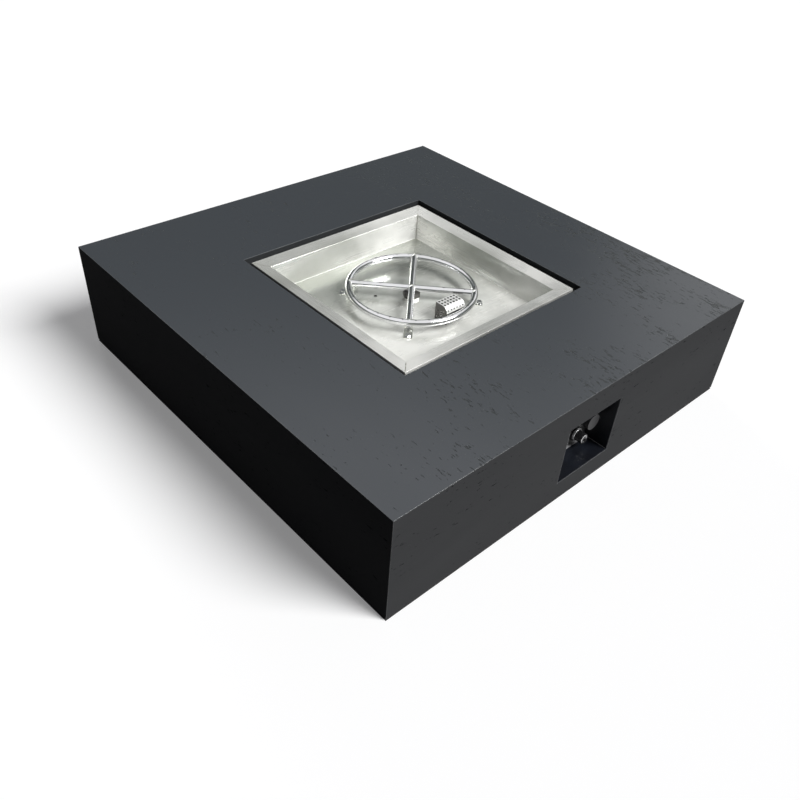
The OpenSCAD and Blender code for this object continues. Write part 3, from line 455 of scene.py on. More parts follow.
def take_up(piece):
    """Selects one piece alone and goes into edit mode with all of it selected"""
    select_alone(piece)
    bpy.ops.object.mode_set(mode="EDIT")
    bpy.ops.mesh.select_mode(type="EDGE")
    bpy.ops.mesh.select_all(action="SELECT")


def put_down():
    """Leaves edit mode"""
    bpy.ops.object.mode_set(mode="OBJECT")


def casing_block(name, face, arris):
    """The whole casing as one block with eased edges, to be cut into a panel"""
    low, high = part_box("front_panel")[0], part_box("top_panel")[1]
    block = new_piece(name, bpy.ops.mesh.primitive_cube_add, face, arris, size=1,
                      location=(0, 0, (low.z + high.z) / 2), scale=(2 * high.x, 2 * high.y, high.z - low.z))
    take_up(block)
    bpy.ops.mesh.bevel(offset=ARRIS, segments=3, affect="EDGES", material=ARRIS_SLOT)
    put_down()
    return block


def keep_behind(piece, point, normal):
    """Cuts a piece by a plane and closes the cut, keeping the side that the normal points away from"""
    take_up(piece)
    bpy.ops.mesh.bisect(plane_co=point, plane_no=normal, use_fill=True, clear_outer=True, threshold=TINY)
    put_down()


def apply_modifier(piece, kind, **options):
    """Adds a modifier to a piece, sets its options and applies it"""
    made = piece.modifiers.new(kind.lower(), kind)
    for option, value in options.items():
        setattr(made, option, value)
    bpy.context.view_layer.objects.active = piece
    bpy.ops.object.modifier_apply(modifier=made.name)


def cut_box(piece, low, high):
    """Cuts a right-angled box out of a piece"""
    low, high = Vector(low), Vector(high)
    cutter = new_piece("cutter", bpy.ops.mesh.primitive_cube_add, size=1, location=(low + high) / 2,
                       scale=high - low)
    apply_modifier(piece, "BOOLEAN", operation="DIFFERENCE", solver="EXACT", object=cutter)
    bpy.data.objects.remove(cutter)


def pick(piece, kind, test):
    """Takes up a piece with only those of its edges or faces selected that pass a test"""
    take_up(piece)
    bpy.ops.mesh.select_mode(type=kind)
    bpy.ops.mesh.select_all(action="DESELECT")
    mesh = bmesh.from_edit_mesh(piece.data)
    for item in mesh.edges if kind == "EDGE" else mesh.faces:
        item.select = test(item)
    bmesh.update_edit_mesh(piece.data)


def ease_edges(piece, test, width, segments=2, material=-1):
    """Rounds the edges whose two ends pass a test"""
    pick(piece, "EDGE", lambda edge: test(*(end.co for end in edge.verts)))
    bpy.ops.mesh.bevel(offset=width, segments=segments, affect="EDGES", material=material, clamp_overlap=True)
    put_down()


def close_up(piece, smooth_under=30):
    """Merges doubled points, points faces outwards and smooths shallow edges, with large faces kept flat"""
    take_up(piece)
    bpy.ops.mesh.remove_doubles(threshold=TINY)
    bpy.ops.mesh.normals_make_consistent(inside=False)
    put_down()
    bpy.ops.object.shade_smooth_by_angle(angle=math.radians(smooth_under))
    apply_modifier(piece, "WEIGHTED_NORMAL", keep_sharp=True)


def stand_for(piece, slot, *names):
    """A finished piece takes the place of CAD nodes and rides on their body"""
    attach(piece, nodes[names[0]]["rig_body"])
    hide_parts(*names)


side_woods = {}
for grain, turn in (("x", GRAIN_ALONG_X), ("y", GRAIN_ALONG_Y)):
    side_face = black_wood("side_wood_along_" + grain, turn, SIDE_DEEP, SIDE_LIGHT, MATT)
    side_arris = black_wood("side_arris_along_" + grain, turn, SIDE_LIGHT, ARRIS_WEAR_AND_HIGHLIGHT, MATT)
    side_woods[turn] = (side_face, side_arris)
half_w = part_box("top_panel")[1].x
z_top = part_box("top_panel")[1].z
sides = {
    "front": (Vector((0, -1, 0)), GRAIN_ALONG_X),
    "back": (Vector((0, 1, 0)), GRAIN_ALONG_X),
    "left": (Vector((-1, 0, 0)), GRAIN_ALONG_Y),
    "right": (Vector((1, 0, 0)), GRAIN_ALONG_Y),
}
panels = {}
for side, (out, turn) in sides.items():
    panel = casing_block("casing_" + side, *side_woods[turn])
    keep_behind(panel, out * (half_w - PANEL_T), -out)
    keep_behind(panel, out * half_w + UP * (z_top - MITRE_GAP), UP - out)
    for end in (UP.cross(out), out.cross(UP)):
        keep_behind(panel, (out + end) * half_w - end * MITRE_GAP, end - out)
    panels[side] = panel

# Hand hole for the controls: sawn through the front panel close round the control box, with its front
# edge eased like the panel's own.
BOX_FLANGE = 0.016
BOX_CLEAR = 0.0003
SAW_PAST = 0.05
TOUCH = 0.00005
box_low, box_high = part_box("control_box")
box_inset = BOX_FLANGE - BOX_CLEAR
hand_low = Vector((box_low.x + box_inset, -half_w, box_low.z + box_inset))
hand_high = Vector((box_high.x - box_inset, -half_w, box_high.z - box_inset))
saw_stroke = Vector((0, SAW_PAST, 0))
cut_box(panels["front"], hand_low - saw_stroke, hand_high + saw_stroke)


def on_hand_hole(*ends):
    """True for an edge of the hand hole's outline in the front face"""
    across = all(hand_low.x - TOUCH < end.x < hand_high.x + TOUCH for end in ends)
    upright = all(hand_low.z - TOUCH < end.z < hand_high.z + TOUCH for end in ends)
    return across and upright and all(abs(end.y + half_w) < TOUCH for end in ends)


ease_edges(panels["front"], on_hand_hole, HOLE_ARRIS, material=ARRIS_SLOT)

# Top panel: mitred to the four sides, with a square opening rebated to a ledge that carries the pan.
# The opening's cut faces are matt, and a darker black than the panels: a painted shade for the gap round the
# pan.
RIM_GAP = 0.012
RIM_RISE = 0.006
RAIL_W = 0.030
RAIL_GAP = 0.004
PAN_SHEET = 0.0015
OPENING_SHADE_DEEP = (0.030, 0.032, 0.034)
OPENING_SHADE_LIGHT = (0.040, 0.042, 0.044)
top_face = black_wood("top_wood", GRAIN_ALONG_Y, TOP_DEEP, TOP_LIGHT, LACQUERED)
top_arris = black_wood("top_arris", GRAIN_ALONG_Y, TOP_LIGHT, ARRIS_WEAR_AND_HIGHLIGHT, LACQUERED)
top = casing_block("casing_top", top_face, top_arris)
keep_behind(top, UP * (z_top - PANEL_T), -UP)
for out, turn in sides.values():
    keep_behind(top, out * (half_w - MITRE_GAP) + UP * z_top, out - UP)
z_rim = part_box("pan_sides")[1].z
z_mouth = z_rim - RIM_RISE
z_ledge = z_mouth - PAN_SHEET
rim_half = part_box("pan_sides")[1].x
opening_half = rim_half + RIM_GAP
ledge_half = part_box("bearer_rails")[1].x - RAIL_W - RAIL_GAP
z_above = z_top + SAW_PAST
z_below = z_top - PANEL_T - SAW_PAST
cut_box(top, (-opening_half, -opening_half, z_ledge), (opening_half, opening_half, z_above))
cut_box(top, (-ledge_half, -ledge_half, z_below), (ledge_half, ledge_half, z_above))


def on_opening(*ends):
    """True for an edge of the opening's outline in the top face"""
    inside = all(max(abs(end.x), abs(end.y)) < opening_half + TOUCH for end in ends)
    return inside and all(abs(end.z - z_top) < TOUCH for end in ends)


ease_edges(top, on_opening, HOLE_ARRIS, material=ARRIS_SLOT)
# The opening's faces get a darker black, a painted shade in the gap round the pan.
top.data.materials.append(black_wood("opening_wood_painted_shade", GRAIN_ALONG_Y, OPENING_SHADE_DEEP, OPENING_SHADE_LIGHT, MATT))
opening_shade_slot = len(top.data.materials) - 1
for face in top.data.polygons:
    corners = [top.data.vertices[index].co for index in face.vertices]
    if all(max(abs(corner.x), abs(corner.y)) < opening_half + TOUCH for corner in corners):
        face.material_index = opening_shade_slot
panels["top"] = top
for side, panel in panels.items():
    close_up(panel)
    stand_for(panel, "black_wood", side + "_panel")

# Burner pan: a floor plate and four sides of stainless sheet. Each side is folded to a wall, a flange
# that climbs to the rim and a hem that stands on the ledge, and the mitred corners are welded and ground.
PAN_MOUTH = 0.454
PAN_FLOOR = 0.417
BEND_R = 0.001
CROWN = 0.17
CROWN_AT = 0.09
STEEL_LIGHT = (0.84, 0.84, 0.81)
STEEL_DARK = (0.79, 0.795, 0.76)
STEEL_SMUDGE = (0.42, 0.43, 0.39)
STEEL_PAINTED_BRIGHT = (0.95, 0.95, 0.92)
PAN_FLOOR_LIGHT = (0.72, 0.74, 0.69)
PAN_FLOOR_DARK = (0.67, 0.69, 0.64)
PAN_FLOOR_SMUDGE = (0.30, 0.31, 0.28)
PALE_PAINTED_HIGHLIGHT = (0.90, 0.90, 0.86)
LINES_PER_METRE = (6, 2600, 2600)
CLOUDS_PER_METRE = (4, 20, 20)
CLOUD_EDGE = (0.44, 0.70)
CLOUD_ROUGHER = 0.08
RAGS_PER_METRE = 16.0
RAG = 0.04
MARK_ROUGHNESS = 0.3
SIDE_SMUDGES = ((-0.25, 0.16, 0.16, 0.7), (-0.08, 0.22, 0.16, 0.4), (0.25, 0.16, 0.06, 0.3))
SIDE_PAINTED_HIGHLIGHTS = ((-0.24, -0.24, 0.22, 0.9), (0.24, -0.16, 0.14, 0.8), (0.14, 0.27, 0.15, 0.95))
SIDE_PAINTED_BRIGHT = ((0.25, 0.13, 0.12, 0.9),)
PAN_FLOOR_SMUDGES = ((0.20, 0.20, 0.20, 0.95), (-0.18, 0.12, 0.16, 0.5), (0.20, 0.0, 0.10, 0.3))
PAN_FLOOR_PAINTED_HIGHLIGHTS = ((-0.18, -0.20, 0.30, 0.95), (0.19, -0.18, 0.22, 0.95), (0.0, -0.09, 0.22, 0.6))
SEAM_W = 0.0034
SEAM_TINT = (0.26, 0.25, 0.21)
SEAM_DEPTH = 0.9
GRINDS_PER_METRE = 150.0
GRIND_EDGE = (0.36, 0.60)
GRIND_LEAST = 0.25
SOOT_AND_SHADE_BLACK = (0.006, 0.006, 0.006)
BLACKENED_UNDER = 0.0005


def rolled_steel_group():
    """Fine lines along the grain of rolled sheet, with cloudy smudges"""
    group, entry, leave = new_group("rolled_steel", {"Along grain": "NodeSocketVector"}, ("Lines", "Smudge"))
    lines = stretched_noise(group, entry["Along grain"], LINES_PER_METRE, 3.0)
    cloud = stretched_noise(group, entry["Along grain"], CLOUDS_PER_METRE, 5.0)
    fill_sockets(group, leave, Lines=remap(group, lines, *NOISE_SPAN),
                 Smudge=remap(group, cloud, *CLOUD_EDGE))
    return group


rolled_steel = rolled_steel_group()


def steel_finish(name, light, dark, roughness, along=object_coords, smudge=0.5, haze=0.0, relief=0.000004):
    """Bright rolled or drawn steel with lines along its grain, under a share of pale haze"""
    finish, tree, shader = new_finish(name, Metallic=1.0 - haze)
    grain = add_node(tree, "ShaderNodeGroup", {"node_tree": rolled_steel}, Along_grain=along(tree))
    lines, cloud = grain.outputs["Lines"], grain.outputs["Smudge"]
    colour = mix_colour(tree, lines, dark, light)
    colour = mix_colour(tree, add_math(tree, "MULTIPLY", cloud, smudge), colour, STEEL_SMUDGE)
    blur = remap(tree, lines, 0.0, 1.0, *roughness)
    fill_sockets(tree, shader, Base_Color=colour,
                 Roughness=add_math(tree, "MULTIPLY_ADD", cloud, CLOUD_ROUGHER, blur))
    add_bump(tree, shader, lines, relief)
    return finish


def overlay(finish, mask, colour, roughness, metallic):
    """Lays a colour with its own roughness and metal level over a finish, by a mask"""
    tree = finish.node_tree
    sockets = tree.nodes["Principled BSDF"].inputs
    under = sockets["Base Color"].links[0].from_socket
    tree.links.new(mix_colour(tree, mask, under, colour), sockets["Base Color"])
    for name, level in (("Roughness", roughness), ("Metallic", metallic)):
        socket = sockets[name]
        held = socket.links[0].from_socket if socket.is_linked else socket.default_value
        change = add_math(tree, "SUBTRACT", level, held)
        tree.links.new(add_math(tree, "MULTIPLY_ADD", mask, change, held), socket)


def sooted_and_shaded(finish, depth):
    """Blackens a finish where it lies deeper than a set depth under the outer skin: soot in the burner's
    bores and inside the hood, painted shade under the pan's floor and in its holes
    """
    mask = add_math(finish.node_tree, "GREATER_THAN", depth, BLACKENED_UNDER)
    overlay(finish, mask, SOOT_AND_SHADE_BLACK, roughness=0.9, metallic=0.0)


def add_hypot(tree, *values):
    """The length of a vector of results"""
    total = add_math(tree, "MULTIPLY", values[0], values[0])
    for value in values[1:]:
        total = add_math(tree, "MULTIPLY_ADD", value, value, total)
    return add_math(tree, "SQRT", total)


def mark(finish, marks, colour, metallic):
    """Lays ragged marks on the pan, each given by its place across, its reach and its depth"""
    tree = finish.node_tree
    part = object_axes(tree)
    ragged = remap(tree, add_noise(tree, object_coords(tree), RAGS_PER_METRE, 4.0), *NOISE_SPAN, -RAG, RAG)
    for x, y, reach, depth in marks:
        aside = add_math(tree, "SUBTRACT", part["X"], x)
        ahead = add_math(tree, "SUBTRACT", part["Y"], y)
        away = add_math(tree, "ADD", add_hypot(tree, aside, ahead), ragged)
        overlay(finish, remap(tree, away, 0.0, reach, depth, 0.0), colour, MARK_ROUGHNESS, metallic)


def along_pan_sides(tree):
    """Coordinates whose X runs along the nearest side of the pan"""
    part = object_axes(tree)
    beside = add_math(tree, "GREATER_THAN", *off_middle(tree))
    change = add_math(tree, "MULTIPLY", beside, add_math(tree, "SUBTRACT", part["Y"], part["X"]))
    swapped = add_node(tree, "ShaderNodeCombineXYZ", X=add_math(tree, "ADD", part["X"], change),
                       Y=add_math(tree, "SUBTRACT", part["Y"], change), Z=part["Z"])
    return swapped.outputs["Vector"]


def draw_seams(finish):
    """Darkens and dulls the ground welds on the pan's diagonals"""
    tree = finish.node_tree
    far_x, far_y = off_middle(tree)
    apart = add_math(tree, "ABSOLUTE", add_math(tree, "SUBTRACT", far_x, far_y))
    outer = add_math(tree, "GREATER_THAN", add_math(tree, "MAXIMUM", far_x, far_y), PAN_FLOOR / 2 - SEAM_W)
    seam = add_math(tree, "MULTIPLY", remap(tree, apart, SEAM_W / 4, SEAM_W / 2, SEAM_DEPTH, 0.0), outer)
    grinds = add_noise(tree, object_coords(tree), GRINDS_PER_METRE, 3.0)
    ground = remap(tree, grinds, *GRIND_EDGE, GRIND_LEAST, 1.0)
    overlay(finish, add_math(tree, "MULTIPLY", seam, ground), SEAM_TINT, roughness=0.6, metallic=1.0)


def crowned(finish):
    """Bulges a level sheet a little, as heat does, about a point behind its middle"""
    tree = finish.node_tree
    part = object_axes(tree)
    out = add_hypot(tree, *(add_math(tree, "SUBTRACT", part[axis], CROWN_AT) for axis in ("X", "Y")))
    bulge = add_node(tree, "ShaderNodeBump", Height=add_math(tree, "MULTIPLY", out, out), Distance=-CROWN)
    grain = tree.nodes["Principled BSDF"].inputs["Normal"].links[0].from_node
    tree.links.new(bulge.outputs["Normal"], grain.inputs["Normal"])


z_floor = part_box("pan_floor")[1].z
floor_steel = steel_finish("pan_floor_steel", PAN_FLOOR_LIGHT, PAN_FLOOR_DARK, (0.15, 0.22), haze=0.25)
crowned(floor_steel)
mark(floor_steel, PAN_FLOOR_SMUDGES, PAN_FLOOR_SMUDGE, metallic=0.7)
# Pale patches on the pan's floor: painted highlights.
mark(floor_steel, PAN_FLOOR_PAINTED_HIGHLIGHTS, PALE_PAINTED_HIGHLIGHT, metallic=0.2)
tree = floor_steel.node_tree
# The pan floor is blackened under its top face, on its underside and in the bores of its holes: painted
# shade.
sooted_and_shaded(floor_steel, add_math(tree, "SUBTRACT", z_floor, object_axes(tree)["Z"]))
dress(floor_steel, "pan_floor")
side_steel = steel_finish("pan_side_steel", STEEL_LIGHT, STEEL_DARK, (0.20, 0.28), along_pan_sides,
                          smudge=0.7, haze=0.45)
mark(side_steel, SIDE_SMUDGES, STEEL_SMUDGE, metallic=0.55)
# Pale patches on the pan's walls: painted highlights.
mark(side_steel, SIDE_PAINTED_HIGHLIGHTS, PALE_PAINTED_HIGHLIGHT, metallic=0.1)
# A bright, fully metallic patch on the right wall near the back corner: a painted reflection.
mark(side_steel, SIDE_PAINTED_BRIGHT, STEEL_PAINTED_BRIGHT, metallic=1.0)
draw_seams(side_steel)
narrowing = PAN_FLOOR / PAN_MOUTH
pan = new_piece("pan_folded_sides", bpy.ops.mesh.primitive_plane_add, side_steel, size=2 * rim_half,
                location=(0, 0, z_rim))
take_up(pan)
bpy.ops.mesh.inset(thickness=rim_half - PAN_MOUTH / 2)
bpy.ops.transform.translate(value=(0, 0, -RIM_RISE))
bpy.ops.mesh.extrude_region_move(TRANSFORM_OT_translate={"value": (0, 0, z_floor - z_mouth)})
bpy.ops.transform.resize(value=(narrowing, narrowing, 1), center_override=(0, 0, z_floor))
put_down()
pick(pan, "EDGE", lambda edge: edge.is_boundary)
bpy.ops.mesh.extrude_edges_move(TRANSFORM_OT_translate={"value": (0, 0, z_ledge - z_rim)})
put_down()


def on_fold(a, b):
    """True for the level edges of the pan's rim, mouth and floor, and not of its hem"""
    return abs(a.z - b.z) < TOUCH and abs(a.z - z_ledge) > TOUCH


ease_edges(pan, on_fold, BEND_R, 4)
pick(pan, "FACE", lambda face: abs(face.calc_center_median().z - z_floor) < TOUCH)
bpy.ops.mesh.delete(type="ONLY_FACE")
put_down()
apply_modifier(pan, "SOLIDIFY", thickness=PAN_SHEET, offset=-1)
close_up(pan)
stand_for(pan, "pan_steel", "pan_sides")

# Burner feet: four bent straps under the ring, each held by a hex bolt with a washer face and a
# zinc-plated nut under the pan. The bolts are bright stainless.
TUBE_LIGHT = (0.86, 0.86, 0.88)
TUBE_DARK = (0.76, 0.76, 0.78)
strap_steel = steel_finish("strap_steel", STEEL_LIGHT, STEEL_DARK, (0.14, 0.22))
tube_steel = steel_finish("tube_steel", TUBE_LIGHT, TUBE_DARK, (0.05, 0.10), smudge=0.15, relief=0.000002)
dress(strap_steel, "burner_feet")
dress(tube_steel, "burner_bolts")
dress(zinc, "burner_nuts")

# Burner: a ring and a cross of polished stainless tube, drilled with flame ports. The arms are
# notched to fit and welded to the ring and at the crossing, and the bores are black with soot.
BEAD_D = 0.0022
BEAD_POINTS = 24
ROUND_UNDER = 60
ARM_ANGLES = [math.radians(angle) for angle in (45, 135, 225, 315)]
ring_low, ring_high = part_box("burner_ring")
tube_r = (ring_high.z - ring_low.z) / 2
ring_r = ring_high.x - tube_r
z_ring = ring_low.z + tube_r
burner_steel = steel_finish("burner_steel", TUBE_LIGHT, TUBE_DARK, (0.06, 0.12), smudge=0.3, relief=0.000002)


def under_tube_skin(tree):
    """Depth under the skin of the burner's ring and arms"""
    part = object_axes(tree)
    rise = add_math(tree, "SUBTRACT", part["Z"], z_ring)
    past = add_math(tree, "SUBTRACT", add_hypot(tree, part["X"], part["Y"]), ring_r)
    nearest = add_hypot(tree, past, rise)
    past = add_math(tree, "MAXIMUM", past, 0.0)
    for angle in ARM_ANGLES[:2]:
        across = add_math(tree, "MULTIPLY", part["Y"], -math.cos(angle))
        aside = add_math(tree, "MULTIPLY_ADD", part["X"], math.sin(angle), across)
        nearest = add_math(tree, "MINIMUM", nearest, add_hypot(tree, aside, rise, past))
    return add_math(tree, "SUBTRACT", tube_r, nearest)


sooted_and_shaded(burner_steel, under_tube_skin(burner_steel.node_tree))
dress(burner_steel, "burner_ring", "burner_spokes")


def curve_through(name, routes, closed=False):
    """Smooth curves through the points of each route, open or closed, as one object"""
    curve = bpy.data.curves.new(name, "CURVE")
    curve.dimensions = "3D"
    for route in routes:
        spline = curve.splines.new("BEZIER")
        spline.bezier_points.add(len(route) - 1)
        spline.use_cyclic_u = closed
        last = len(route) - 1
        for index, (knot, place) in enumerate(zip(spline.bezier_points, route)):
            before = route[index - 1] if closed or index > 0 else place
            after = route[(index + 1) % len(route)] if closed or index < last else place
            knot.co = place
            knot.handle_left = place - (after - before) / 6
            knot.handle_right = place + (after - before) / 6
    path = bpy.data.objects.new(name, curve)
    scene.collection.objects.link(path)
    return path


def tubes_along(name, routes, diameter, finish, closed=False):
    """Round tubes on curves through the points of each route, as one mesh"""
    piece = curve_through(name, routes, closed)
    piece.data.bevel_depth = diameter / 2
    piece.data.bevel_resolution = 4
    piece.data.use_fill_caps = True
    select_alone(piece)
    bpy.ops.object.convert(target="MESH")
    piece.data.materials.append(finish)
    close_up(piece, ROUND_UNDER)
    return piece


def weld_loop(angle, start, lean):
    """Points of the weld round an arm's notched end"""
    turn = Matrix.Rotation(angle, 3, "Z")
    loop = []
    for step in range(BEAD_POINTS):
        around = math.tau * step / BEAD_POINTS
        reach = start + lean * tube_r * abs(math.sin(around))
        loop.append(turn @ Vector((reach, tube_r * math.sin(around), z_ring + tube_r * math.cos(around))))
    return loop


weld_steel = steel_finish("weld_steel", STEEL_DARK, STEEL_SMUDGE, (0.24, 0.40), relief=0.00002)
at_ring = [weld_loop(angle, ring_r, -1) for angle in ARM_ANGLES]
at_crossing = [weld_loop(angle, 0.0, 1) for angle in ARM_ANGLES[1::2]]
burner_welds = tubes_along("burner_welds", at_ring + at_crossing, BEAD_D, weld_steel, closed=True)
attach(burner_welds, "table")

# Inlet: a dark malleable iron coupling welded under the crossing, a plated nipple with two bright
# locknuts through the pan, and a turned brass elbow under it.
IRON_LIGHT = (0.13, 0.125, 0.12)
IRON_DARK = (0.05, 0.05, 0.048)
BRASS_LIGHT = (0.72, 0.53, 0.22)
BRASS_DARK = (0.52, 0.35, 0.12)
iron = skin_finish("malleable_iron", IRON_LIGHT, IRON_DARK, 900.0, (0.4, 0.62), 0.0003, Metallic=0.8)
brass = skin_finish("turned_brass", BRASS_LIGHT, BRASS_DARK, 2200.0, (0.22, 0.38), 0.00002, Metallic=1.0)
dress(iron, "hub_coupling")
dress(strap_steel, "pan_locknuts")
dress(zinc, "inlet_nipple")
dress(brass, "inlet_elbow")

# Gas line: a corrugated stainless tube from the valve's outlet to the elbow under the pan, held at
# both ends by brass flare nuts.
LINE_D = 0.012
LINE_RIB = 0.0042
LINE_VALLEY = 0.78
LINE_SIDES = 16
RIB_SLOPE = 0.3
GAS_START = Vector((0.046, -0.408, 0.1315))
GAS_END = Vector((0.040, 0.0, 0.1645))
GAS_ROUTE = [
    GAS_START,
    GAS_START + Vector((0, 0.016, 0)),
    GAS_START + Vector((0, 0.040, 0)),
    GAS_START + Vector((0.012, 0.110, 0.004)),
    GAS_END + Vector((0.070, -0.180, -0.016)),
    GAS_END + Vector((0.092, -0.095, -0.006)),
    GAS_END + Vector((0.078, -0.030, 0)),
    GAS_END + Vector((0.044, 0, 0)),
    GAS_END + Vector((0.018, 0, 0)),
    GAS_END,
]
dress(brass, "gas_line_nuts")


def close_ends(piece):
    """Closes the open ends of a tube or coil"""
    take_up(piece)
    bpy.ops.mesh.fill_holes(sides=0)
    put_down()


line_steel = steel_finish("line_steel", STEEL_LIGHT, STEEL_DARK, (0.18, 0.30))
line_path = curve_through("gas_line_path", [GAS_ROUTE])
line_length = line_path.data.splines[0].calc_length()
rib_count = round(line_length / LINE_RIB)
rib = line_length / rib_count
gas_tube = new_piece("gas_line_ribbed", bpy.ops.mesh.primitive_circle_add, line_steel, vertices=LINE_SIDES,
                     radius=LINE_D / 2 * LINE_VALLEY, rotation=(0, math.radians(90), 0))
take_up(gas_tube)
for share, swell in ((RIB_SLOPE, 1 / LINE_VALLEY), (1 - 2 * RIB_SLOPE, 1), (RIB_SLOPE, LINE_VALLEY)):
    bpy.ops.mesh.extrude_region_move(TRANSFORM_OT_translate={"value": (rib * share, 0, 0)})
    bpy.ops.transform.resize(value=(1, swell, swell), center_override=(0, 0, 0))
put_down()
apply_modifier(gas_tube, "ARRAY", count=rib_count, relative_offset_displace=(1, 0, 0),
               use_merge_vertices=True, merge_threshold=rib / 20)
apply_modifier(gas_tube, "CURVE", object=line_path)
bpy.data.objects.remove(line_path)
close_ends(gas_tube)
close_up(gas_tube, ROUND_UNDER)
stand_for(gas_tube, "flex_steel", "gas_line")

# Pilot: a bent bracket inside a perforated hood, with a spark electrode in a ceramic sleeve and
# a thermocouple probe, all screwed to the pan's floor.
HOOD_R = 0.014
HOOD_TAB = 0.008
HOOD_PITCH = 0.009
HOOD_HOLE_EDGE = 0.005
HOOD_SOOT_R = 0.0027
HOOD_MOUTH_SHADOW_H = 0.027
HOOD_LIGHT = (0.94, 0.94, 0.92)
HOOD_DARK = (0.88, 0.88, 0.86)
END_CAP_PAINTED_SHADE = (0.16, 0.155, 0.15)
CERAMIC_LIGHT = (0.86, 0.83, 0.76)
CERAMIC_DARK = (0.74, 0.69, 0.60)
COPPER_LIGHT = (0.66, 0.36, 0.20)
COPPER_DARK = (0.42, 0.20, 0.11)
WIRE_LIGHT = (0.48, 0.48, 0.49)
WIRE_DARK = (0.30, 0.30, 0.31)
ceramic = skin_finish("ceramic", CERAMIC_LIGHT, CERAMIC_DARK, 1500.0, (0.3, 0.45), 0.00003)
copper, probe_copper = (
    skin_finish(name, COPPER_LIGHT, COPPER_DARK, 1500.0, (0.25, 0.45), 0.00003, Metallic=1.0)
    for name in ("copper", "probe_copper")
)
wire = skin_finish("drawn_wire", WIRE_LIGHT, WIRE_DARK, 2500.0, (0.25, 0.4), 0.00002, Metallic=1.0)


def under_hood_skin(tree):
    """Depth under the hood's outer skin, and the distance inwards from its two ends"""
    low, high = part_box("pilot_hood")
    part = object_axes(tree)
    ahead = add_math(tree, "MAXIMUM", add_math(tree, "SUBTRACT", low.y + HOOD_R, part["Y"]), 0.0)
    above = add_math(tree, "MAXIMUM", add_math(tree, "SUBTRACT", part["Z"], high.z - HOOD_R), 0.0)
    shell = add_math(tree, "SUBTRACT", HOOD_R, add_hypot(tree, ahead, above))
    aside = add_math(tree, "ABSOLUTE", add_math(tree, "SUBTRACT", part["X"], (low.x + high.x) / 2))
    from_end = add_math(tree, "SUBTRACT", (high.x - low.x) / 2 - HOOD_TAB, aside)
    behind = add_math(tree, "SUBTRACT", high.y, part["Y"])
    return add_math(tree, "MINIMUM", shell, add_math(tree, "MINIMUM", from_end, behind)), from_end


def soot_and_mouth_shadow_on_hood(tree):
    """Mask of the soot round the holes in the hood's top, and of a painted shadow over the mouth in its front
    """
    low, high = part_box("pilot_hood")
    part = object_axes(tree)
    along = add_math(tree, "SUBTRACT", part["X"], (low.x + high.x) / 2)
    ahead = add_math(tree, "SUBTRACT", part["Y"], high.y - HOOD_HOLE_EDGE + HOOD_PITCH / 2)
    from_hole = []
    for place in (along, ahead):
        step = add_math(tree, "FRACT", add_math(tree, "DIVIDE", place, HOOD_PITCH))
        from_hole.append(add_math(tree, "SUBTRACT", step, 0.5))
    ringed = add_math(tree, "LESS_THAN", add_hypot(tree, *from_hole), HOOD_SOOT_R / HOOD_PITCH)
    on_top = add_math(tree, "GREATER_THAN", part["Z"], high.z - BLACKENED_UNDER)
    in_front = add_math(tree, "LESS_THAN", part["Y"], low.y + BLACKENED_UNDER)
    # A band over the mouth in the front is painted shadow.
    over_mouth = add_math(tree, "LESS_THAN", part["Z"], low.z + HOOD_MOUTH_SHADOW_H)
    mouth_shadow = add_math(tree, "MULTIPLY", in_front, over_mouth)
    return add_math(tree, "MAXIMUM", add_math(tree, "MULTIPLY", ringed, on_top), mouth_shadow)


hood_steel = steel_finish("hood_steel", HOOD_LIGHT, HOOD_DARK, (0.34, 0.44), smudge=0.1, haze=0.4)
tree = hood_steel.node_tree
depth, from_end = under_hood_skin(tree)
# The hood's two end caps are painted darker: painted shade.
shaded_end_caps = add_math(tree, "COMPARE", from_end, 0.0, TOUCH)
overlay(hood_steel, shaded_end_caps, END_CAP_PAINTED_SHADE, roughness=0.4, metallic=1.0)
# Soot round the top's holes, and a painted shadow over the mouth.
overlay(hood_steel, soot_and_mouth_shadow_on_hood(tree), SOOT_AND_SHADE_BLACK, roughness=0.9, metallic=0.0)
sooted_and_shaded(hood_steel, depth)
dress(hood_steel, "pilot_hood")
dress(strap_steel, "pilot_bracket")
dress(zinc, "hood_screws")
dress(wire, "spark_electrode")
dress(ceramic, "electrode_insulator")
tree = probe_copper.node_tree
burnt = add_math(tree, "GREATER_THAN", object_axes(tree)["Z"], z_floor)
overlay(probe_copper, burnt, SOOT_AND_SHADE_BLACK, roughness=0.6, metallic=0.0)
dress(probe_copper, "thermocouple_probe")
dress(brass, "thermocouple_nut")

# Pilot leads: a silicone-sleeved ignition lead to the igniter and a copper thermocouple lead to the
# valve, both led under the pan between their housings.
IGNITION_D = 0.004
THERMOCOUPLE_D = 0.003
ELECTRODE_TAIL = 0.006


def tail_end(node):
    """The middle of the lower end of an upright piece"""
    low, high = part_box(node)
    return Vector(((low.x + high.x) / 2, (low.y + high.y) / 2, low.z))


